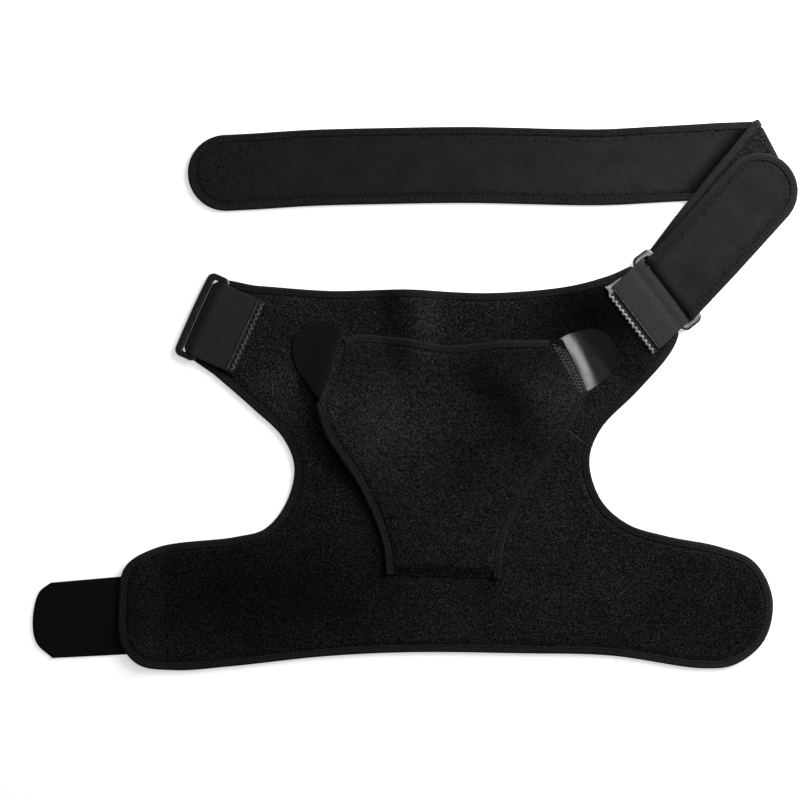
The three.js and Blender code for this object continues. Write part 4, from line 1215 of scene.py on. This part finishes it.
def webbing_piece(name, place, loop, settings, finish, replaces):
    """Ribbed webbing: its middle line with half a thickness to each side, the ribs a cosine along it, carried
    across its width and rounded at the selvedges. It is held in at the fold, and has values for its ribs,
    which also paint shade between them, and for the painted shade where it dips into the ring and at its sewn
    end."""
    line = loop_path(loop)
    along = lengths_along(line)
    tangent = unit(np.gradient(line, axis=0))
    normal = np.column_stack([-tangent[:, 1], tangent[:, 0]])
    at_ring = smooth_fall(line[:, 0], RING["width"] / 2, RING["width"] / 2 + 12)
    rib = np.cos(2 * np.pi * along / (settings.rib / MM)) * (0.35 + 0.65 * at_ring)
    edge = loop["width"] / 2
    y = np.sin(np.linspace(-np.pi / 2, np.pi / 2, 41)) * edge
    selvedge = np.sqrt(np.clip(1 - np.clip((np.abs(y) - edge + SELVEDGE) / SELVEDGE, 0, 1) ** 2, 0.04, 1))
    ends = smooth_rise(np.minimum(along, along[-1] - along), -0.4, 0.5)
    thick = ((WEBBING / 2 - 0.16 + RIB_DEPTH * rib) * ends)[:, None] * selvedge
    pull = loop["tucked"] * smooth_rise(np.abs(y), 22.5, 26) - 0.65 * (1 - (y / 30) ** 2)
    held_in = pull * smooth_fall(line[:, :1], loop["fold"], 6.0)
    skins = []
    for skin in (thick, -thick):
        x, z = (line[:, k, None] + normal[:, k, None] * skin for k in (0, 1))
        skins.append(np.dstack([x + held_in, y - loop["shift"] + loop["skew"] * (x - loop["fold"]), z]))
    rings = both_skins(*skins)
    rows, columns = rings.shape[:2]
    uv = np.dstack(np.broadcast_arrays(along[:, None], np.append(y, y[::-1]))).reshape(-1, 2)
    # Painted shade where the webbing dips into the ring, and painted shadow at its sewn end
    sunk = loop["sunk"] * smooth_fall(line[:, 0], 0.5, 5.5) + 0.45 * smooth_fall(along[-1] - along, 1, 2.5)
    values = {"rib": np.repeat((rib + 1) / 2, columns), "sunk": np.repeat(sunk, columns)}
    points, quads = placed_level(rings.reshape(-1, 3), place), capped_tube(rows, columns)
    return make_piece(name, points, quads, finish, None, uv, values, replaces, crease=70)


def zigzag_line(first, second, teeth):
    """A triangle wave that goes from side to side between two lines, each given by its two ends."""
    (a, b), (c, d) = np.array([first, second], float)
    along = np.linspace(0, 1, teeth * 8 + 1)[:, None]
    swing = np.abs(along * teeth % 2 - 1)
    return (a + (b - a) * along) * swing + (c + (d - c) * along) * (1 - swing)


def loop_thread(name, place, loop, line, radius, finish):
    """Thread sewn on a webbing loop, its line given as x, y and z from the ring."""
    x, y, z = line.T
    points, quads, triangles = tube(np.column_stack([x, y + loop["skew"] * (x - loop["fold"]), z]), radius)
    return make_piece(name, placed_level(points, place), quads, finish, triangles, crease=180)


# Operators

class MakePanels(bpy.types.Operator):
    """Make the yoke and the cuff of loop cloth, with the seam between them"""

    bl_idname = "brace.make_panels"
    bl_label = "Yoke and Cuff"

    def execute(self, context):
        cloth = context.scene.brace_cloth
        line, rim = (drawn_to_rings(closed_line(BODY_RIM, step)) for step in (1.5, 3.0))
        sharp = drawn_to_rings(sharp_corners(BODY_RIM))
        seam = (seam_line(), *GROOVES["seam"])
        yoke_grooves = [seam, (np.array(NICK), *GROOVES["nick"])]
        cuff_grooves = [seam, (smooth_stretch(FLAP_FOOT, 2), *GROOVES["foot"])]
        for name, node, above, corners, grooves in (
            ("yoke_cloth", "yoke_panel", True, sharp, yoke_grooves),
            ("cuff_cloth", "cuff_panel", False, sharp[:0], cuff_grooves),
        ):
            cloth_panel(name, split_by_seam(line, above), corners, rim, lay, grooves, cloth, (node,))
        for k, offset in enumerate(SEAM["rows"]):
            row = seam_line(offset)
            row = row[inside(row, line)]
            stitch_row(f"seam_thread_{k}", row, raised(lay, ON_SEAM), cloth, "thread_seam")
        return {"FINISHED"}


class MakeRimTape(bpy.types.Operator):
    """Bind the rim of yoke and cuff with folded tape and its stitches"""

    bl_idname = "brace.make_rim_tape"
    bl_label = "Rim Tape"

    def execute(self, context):
        line = clear_of_corners(closed_line(BODY_RIM, 0.75), sharp_corners(BODY_RIM), BESIDE_CORNER)
        cloth = context.scene.brace_cloth
        tape_along("rim_tape", "rim_thread", drawn_to_rings(line), True, lay, cloth, ("edge_binding",))
        return {"FINISHED"}


class MakeFlap(bpy.types.Operator):
    """Make the compression flap with its tapes, its dart and its stitches"""

    bl_idname = "brace.make_flap"
    bl_label = "Compression Flap"

    def execute(self, context):
        cloth = context.scene.brace_cloth
        line = closed_line(FLAP_RIM, 1.5)
        dart = np.array(DART)
        cloth_panel(
            "flap_cloth", line, sharp_corners(FLAP_RIM), line, flap_lay, [(dart, *GROOVES["dart"])], cloth,
            ("compression_flap",), smooth_stretch(FLAP_FOOT, 2), rests_on=["yoke_cloth", "cuff_cloth"],
        )
        for side, (start, end, skipped, cut) in FLAP_TAPES.items():
            stretch = smooth_stretch(FLAP_RIM[start:end], 0.75)
            along = lengths_along(stretch)
            stretch = stretch[(along >= skipped) & (along <= along[-1] - cut)]
            names = f"flap_tape_{side}", f"flap_thread_{side}"
            tape_along(*names, stretch, False, flap_lay, cloth, (f"flap_binding_{side}",))
        pale = sewing_thread("thread_band")
        band = np.array(TAB_BAND)
        over = unit(np.array([band[0, 1] - band[1, 1], band[1, 0] - band[0, 0]]))
        for k, (near, far, teeth) in enumerate(BAND_ROWS):
            level = zigzag_line(band + over * near, band + over * far, teeth)
            level = level[(teeth * 2 * k) // 3 : len(level) - teeth // 2]
            step = np.arange(len(level))
            level = level + (0.45 * np.sin(step * 1.7) * np.sin(step * 0.37))[:, None] * over
            sewn = np.column_stack([level, raised(flap_lay, ON_SEAM)(*level.T)])
            points, quads, triangles = tube(sewn, 0.2)
            make_piece(f"band_thread_{k}", points, quads, pale, triangles, crease=180)
        on_flap = raised(flap_lay, ON_CLOTH)
        stitch_row("band_edge", band, on_flap, cloth)
        stitch_row("dart_thread", resampled(dart, 1.0) + (1.6, 0), on_flap, cloth, length=0.6, radius=0.14)
        return {"FINISHED"}


class MakeTabs(bpy.types.Operator):
    """Make the moulded tabs at the flap's upper corners"""

    bl_idname = "brace.make_tabs"
    bl_label = "Flap Tabs"

    def execute(self, context):
        strap = context.scene.brace_strap
        for side, rows, height in (("left", TAB_LEFT_RIM, tab_lay), ("right", TAB_RIGHT_RIM, bent_tab_lay)):
            line = closed_line(rows, 0.8)
            points, quads, border = trimmed_grid(line, sharp_corners(rows), 0.7)
            base = height(*points.T)
            bead = groove(nearest_on(points, line)[1] - TAB_BEAD["in"], TAB_BEAD["width"], TAB_BEAD["height"])
            both, faces = shell(points, quads, border, base + 0.95 * TAB + bead, base)
            finish = stock(tab_finish, f"flap_tab_{side}", strap, *FILMS[side])
            make_piece(f"tab_{side}", both, faces, finish, replaces=(f"flap_tab_{side}",))
        return {"FINISHED"}


class MakeRings(bpy.types.Operator):
    """Make the two rectangular rings"""

    bl_idname = "brace.make_rings"
    bl_label = "Rings"

    def execute(self, context):
        strap = context.scene.brace_strap
        ring_piece("ring_bare", RING_LEFT, strap, ("ring_left",))
        ring_piece("ring_strapped", RING_RIGHT, strap, ("ring_right",))
        return {"FINISHED"}


class MakeWebbing(bpy.types.Operator):
    """Make the webbing doubled over each ring, with the sewing at its ends"""

    bl_idname = "brace.make_webbing"
    bl_label = "Webbing Loops"

    def execute(self, context):
        strap = context.scene.brace_strap
        reach = WEBBING_WIDTH / 2 - 0.7
        for side, place, loop, slot, colour in (
            ("left", RING_LEFT, LOOP_LEFT, "webbing_dark", strap.webbing_dark),
            ("right", RING_RIGHT, LOOP_RIGHT, "webbing", strap.webbing),
        ):
            finish = stock(webbing_finish, f"elastic_{side}", colour)
            node = f"webbing_loop_{side}"
            piece = webbing_piece(f"webbing_{side}", place, loop, strap, finish, (node,))
            low, high = loop["cloth"] + WEBBING, loop["cloth"] + 2 * WEBBING
            near, far, drop = loop["sewing"]
            first, second = (
                ((x, -reach, z), (x, reach, z)) for x, z in ((near, low + 0.1), (far, low - drop))
            )
            swings = zigzag_line(first, second, ZIGZAG_TEETH)
            hem = swings * (0, 1, 0) + (loop["upper"] - 0.3, 0, high - 0.1)
            pale = stock(thread_finish, f"thread_{side}", loop["grey"])
            faint = stock(thread_finish, f"thread_faint_{side}", HEM["grey"])
            extras = [
                loop_thread(f"zigzag_{side}", place, loop, swings, loop["thread"], pale),
                loop_thread(f"hem_{side}", place, loop, hem, HEM["thread"], faint),
            ]
            if side == "right":
                line = zigzag_line(*LOOSE_THREAD, LOOSE["teeth"])
                extras.append(loop_thread("loose_thread", place, loop, line, LOOSE["thread"], pale))
            flat = (loop["width"] * MM, lengths_along(loop_path(loop))[-1] * MM)
        return {"FINISHED"}


class MakeStrap(bpy.types.Operator):
    """Make the long strap with its tape and stitches"""

    bl_idname = "brace.make_strap"
    bl_label = "Chest Strap"

    def execute(self, context):
        cloth = context.scene.brace_cloth
        piece = strap_face(context.scene.brace_strap)
        extras = [strap_tape(cloth), strap_stitches(cloth)]
        return {"FINISHED"}


class MakeHookTab(bpy.types.Operator):
    """Make the hook tab that comes out from under the cuff's end"""

    bl_idname = "brace.make_hook_tab"
    bl_label = "Cuff Hook Tab"

    def execute(self, context):
        line = closed_line(HOOK_TAB_RIM, 1.0)
        points, quads, border = trimmed_grid(line, sharp_corners(HOOK_TAB_RIM), 0.9)
        distance = nearest_on(points, line)[1]
        shoulder = np.sqrt(np.clip(1 - np.clip(1 - distance / 0.8, 0, 1) ** 2, 0, 1))
        wave = 0.05 * np.sin(points[:, 0] / 4.1 + np.sin(points[:, 1] / 9.0))
        top = LIE + HOOK_TAB * (0.5 + 0.45 * shoulder) + wave
        both, faces = shell(points, quads, border, top, LIE + 0.3 * (1 - shoulder))
        finish = stock(tab_finish, "hook_tab", context.scene.brace_strap, *FILMS["hook"])
        make_piece("hook_tab", both, faces, finish, replaces=("cuff_hook_tab",))
        return {"FINISHED"}


class MakeStage(bpy.types.Operator):
    """Make the floor, the lights and the camera"""

    bl_idname = "brace.make_stage"
    bl_label = "Stage"

    def execute(self, context):
        scene = context.scene
        stage = scene.brace_stage
        mesh = bpy.data.meshes.new("floor")
        corners = [(x * FLOOR_REACH, y * FLOOR_REACH, 0) for x, y in ((-1, -1), (1, -1), (1, 1), (-1, 1))]
        mesh.from_pydata(corners, [], [(0, 1, 2, 3)])
        mesh.materials.append(floor_finish())
        floor = bpy.data.objects.new("floor", mesh)
        scene.collection.objects.link(floor)
        for name, (azimuth, elevation, distance, size, share) in LAMPS.items():
            light = bpy.data.lights.new(name, "AREA")
            light.shape = "DISK"
            light.size = size
            light.energy = stage.key * share
            lamp = bpy.data.objects.new(name, light)
            rise = np.radians(elevation)
            lamp.location = (level_way(azimuth) * np.cos(rise) + UP * np.sin(rise)) * distance
            lamp.rotation_euler = (np.radians(90 - elevation), 0, np.radians(azimuth + 90))
            scene.collection.objects.link(lamp)
        scene.world = bpy.data.worlds.new("studio")
        scene.world.use_nodes = True
        background = scene.world.node_tree.nodes["Background"]
        background.inputs["Color"].default_value = (1, 1, 1, 1)
        background.inputs["Strength"].default_value = stage.fill
        scene.view_settings.view_transform = "Standard"
        camera = bpy.data.cameras.new("camera")
        camera.lens = camera.sensor_width * stage.height / stage.view
        view = bpy.data.objects.new("camera", camera)
        view.location = (*(PICTURE_MIDDLE - CENTRE) * MM, stage.height)
        scene.collection.objects.link(view)
        scene.camera = view
        return {"FINISHED"}


class BracePanel(bpy.types.Panel):
    """Lists what makes the brace"""

    bl_idname = "VIEW3D_PT_brace"
    bl_label = "Shoulder Brace"
    bl_space_type = "VIEW_3D"
    bl_region_type = "UI"
    bl_category = "Brace"

    def draw(self, context):
        for maker in MAKERS:
            self.layout.operator(maker.bl_idname)
        for settings in (context.scene.brace_cloth, context.scene.brace_strap, context.scene.brace_stage):
            for key in settings.__annotations__:
                self.layout.prop(settings, key)


SETTINGS = {"brace_cloth": BraceCloth, "brace_strap": BraceStrap, "brace_stage": BraceStage}
MAKERS = (
    MakeStage, MakePanels, MakeRimTape, MakeFlap, MakeTabs, MakeRings, MakeWebbing, MakeStrap, MakeHookTab,
)


def register():
    for kind in (*SETTINGS.values(), *MAKERS, BracePanel):
        bpy.utils.register_class(kind)
    for name, kind in SETTINGS.items():
        setattr(bpy.types.Scene, name, PointerProperty(type=kind))


def unregister():
    for name in SETTINGS:
        delattr(bpy.types.Scene, name)
    for kind in reversed((*SETTINGS.values(), *MAKERS, BracePanel)):
        bpy.utils.unregister_class(kind)


def main():
    register()
    bpy.ops.brace.make_stage()
    bpy.ops.brace.make_panels()
    bpy.ops.brace.make_rim_tape()
    bpy.ops.brace.make_flap()
    bpy.ops.brace.make_tabs()
    bpy.ops.brace.make_rings()
    bpy.ops.brace.make_webbing()
    bpy.ops.brace.make_strap()
    bpy.ops.brace.make_hook_tab()


if __name__ == "__main__":
    main()
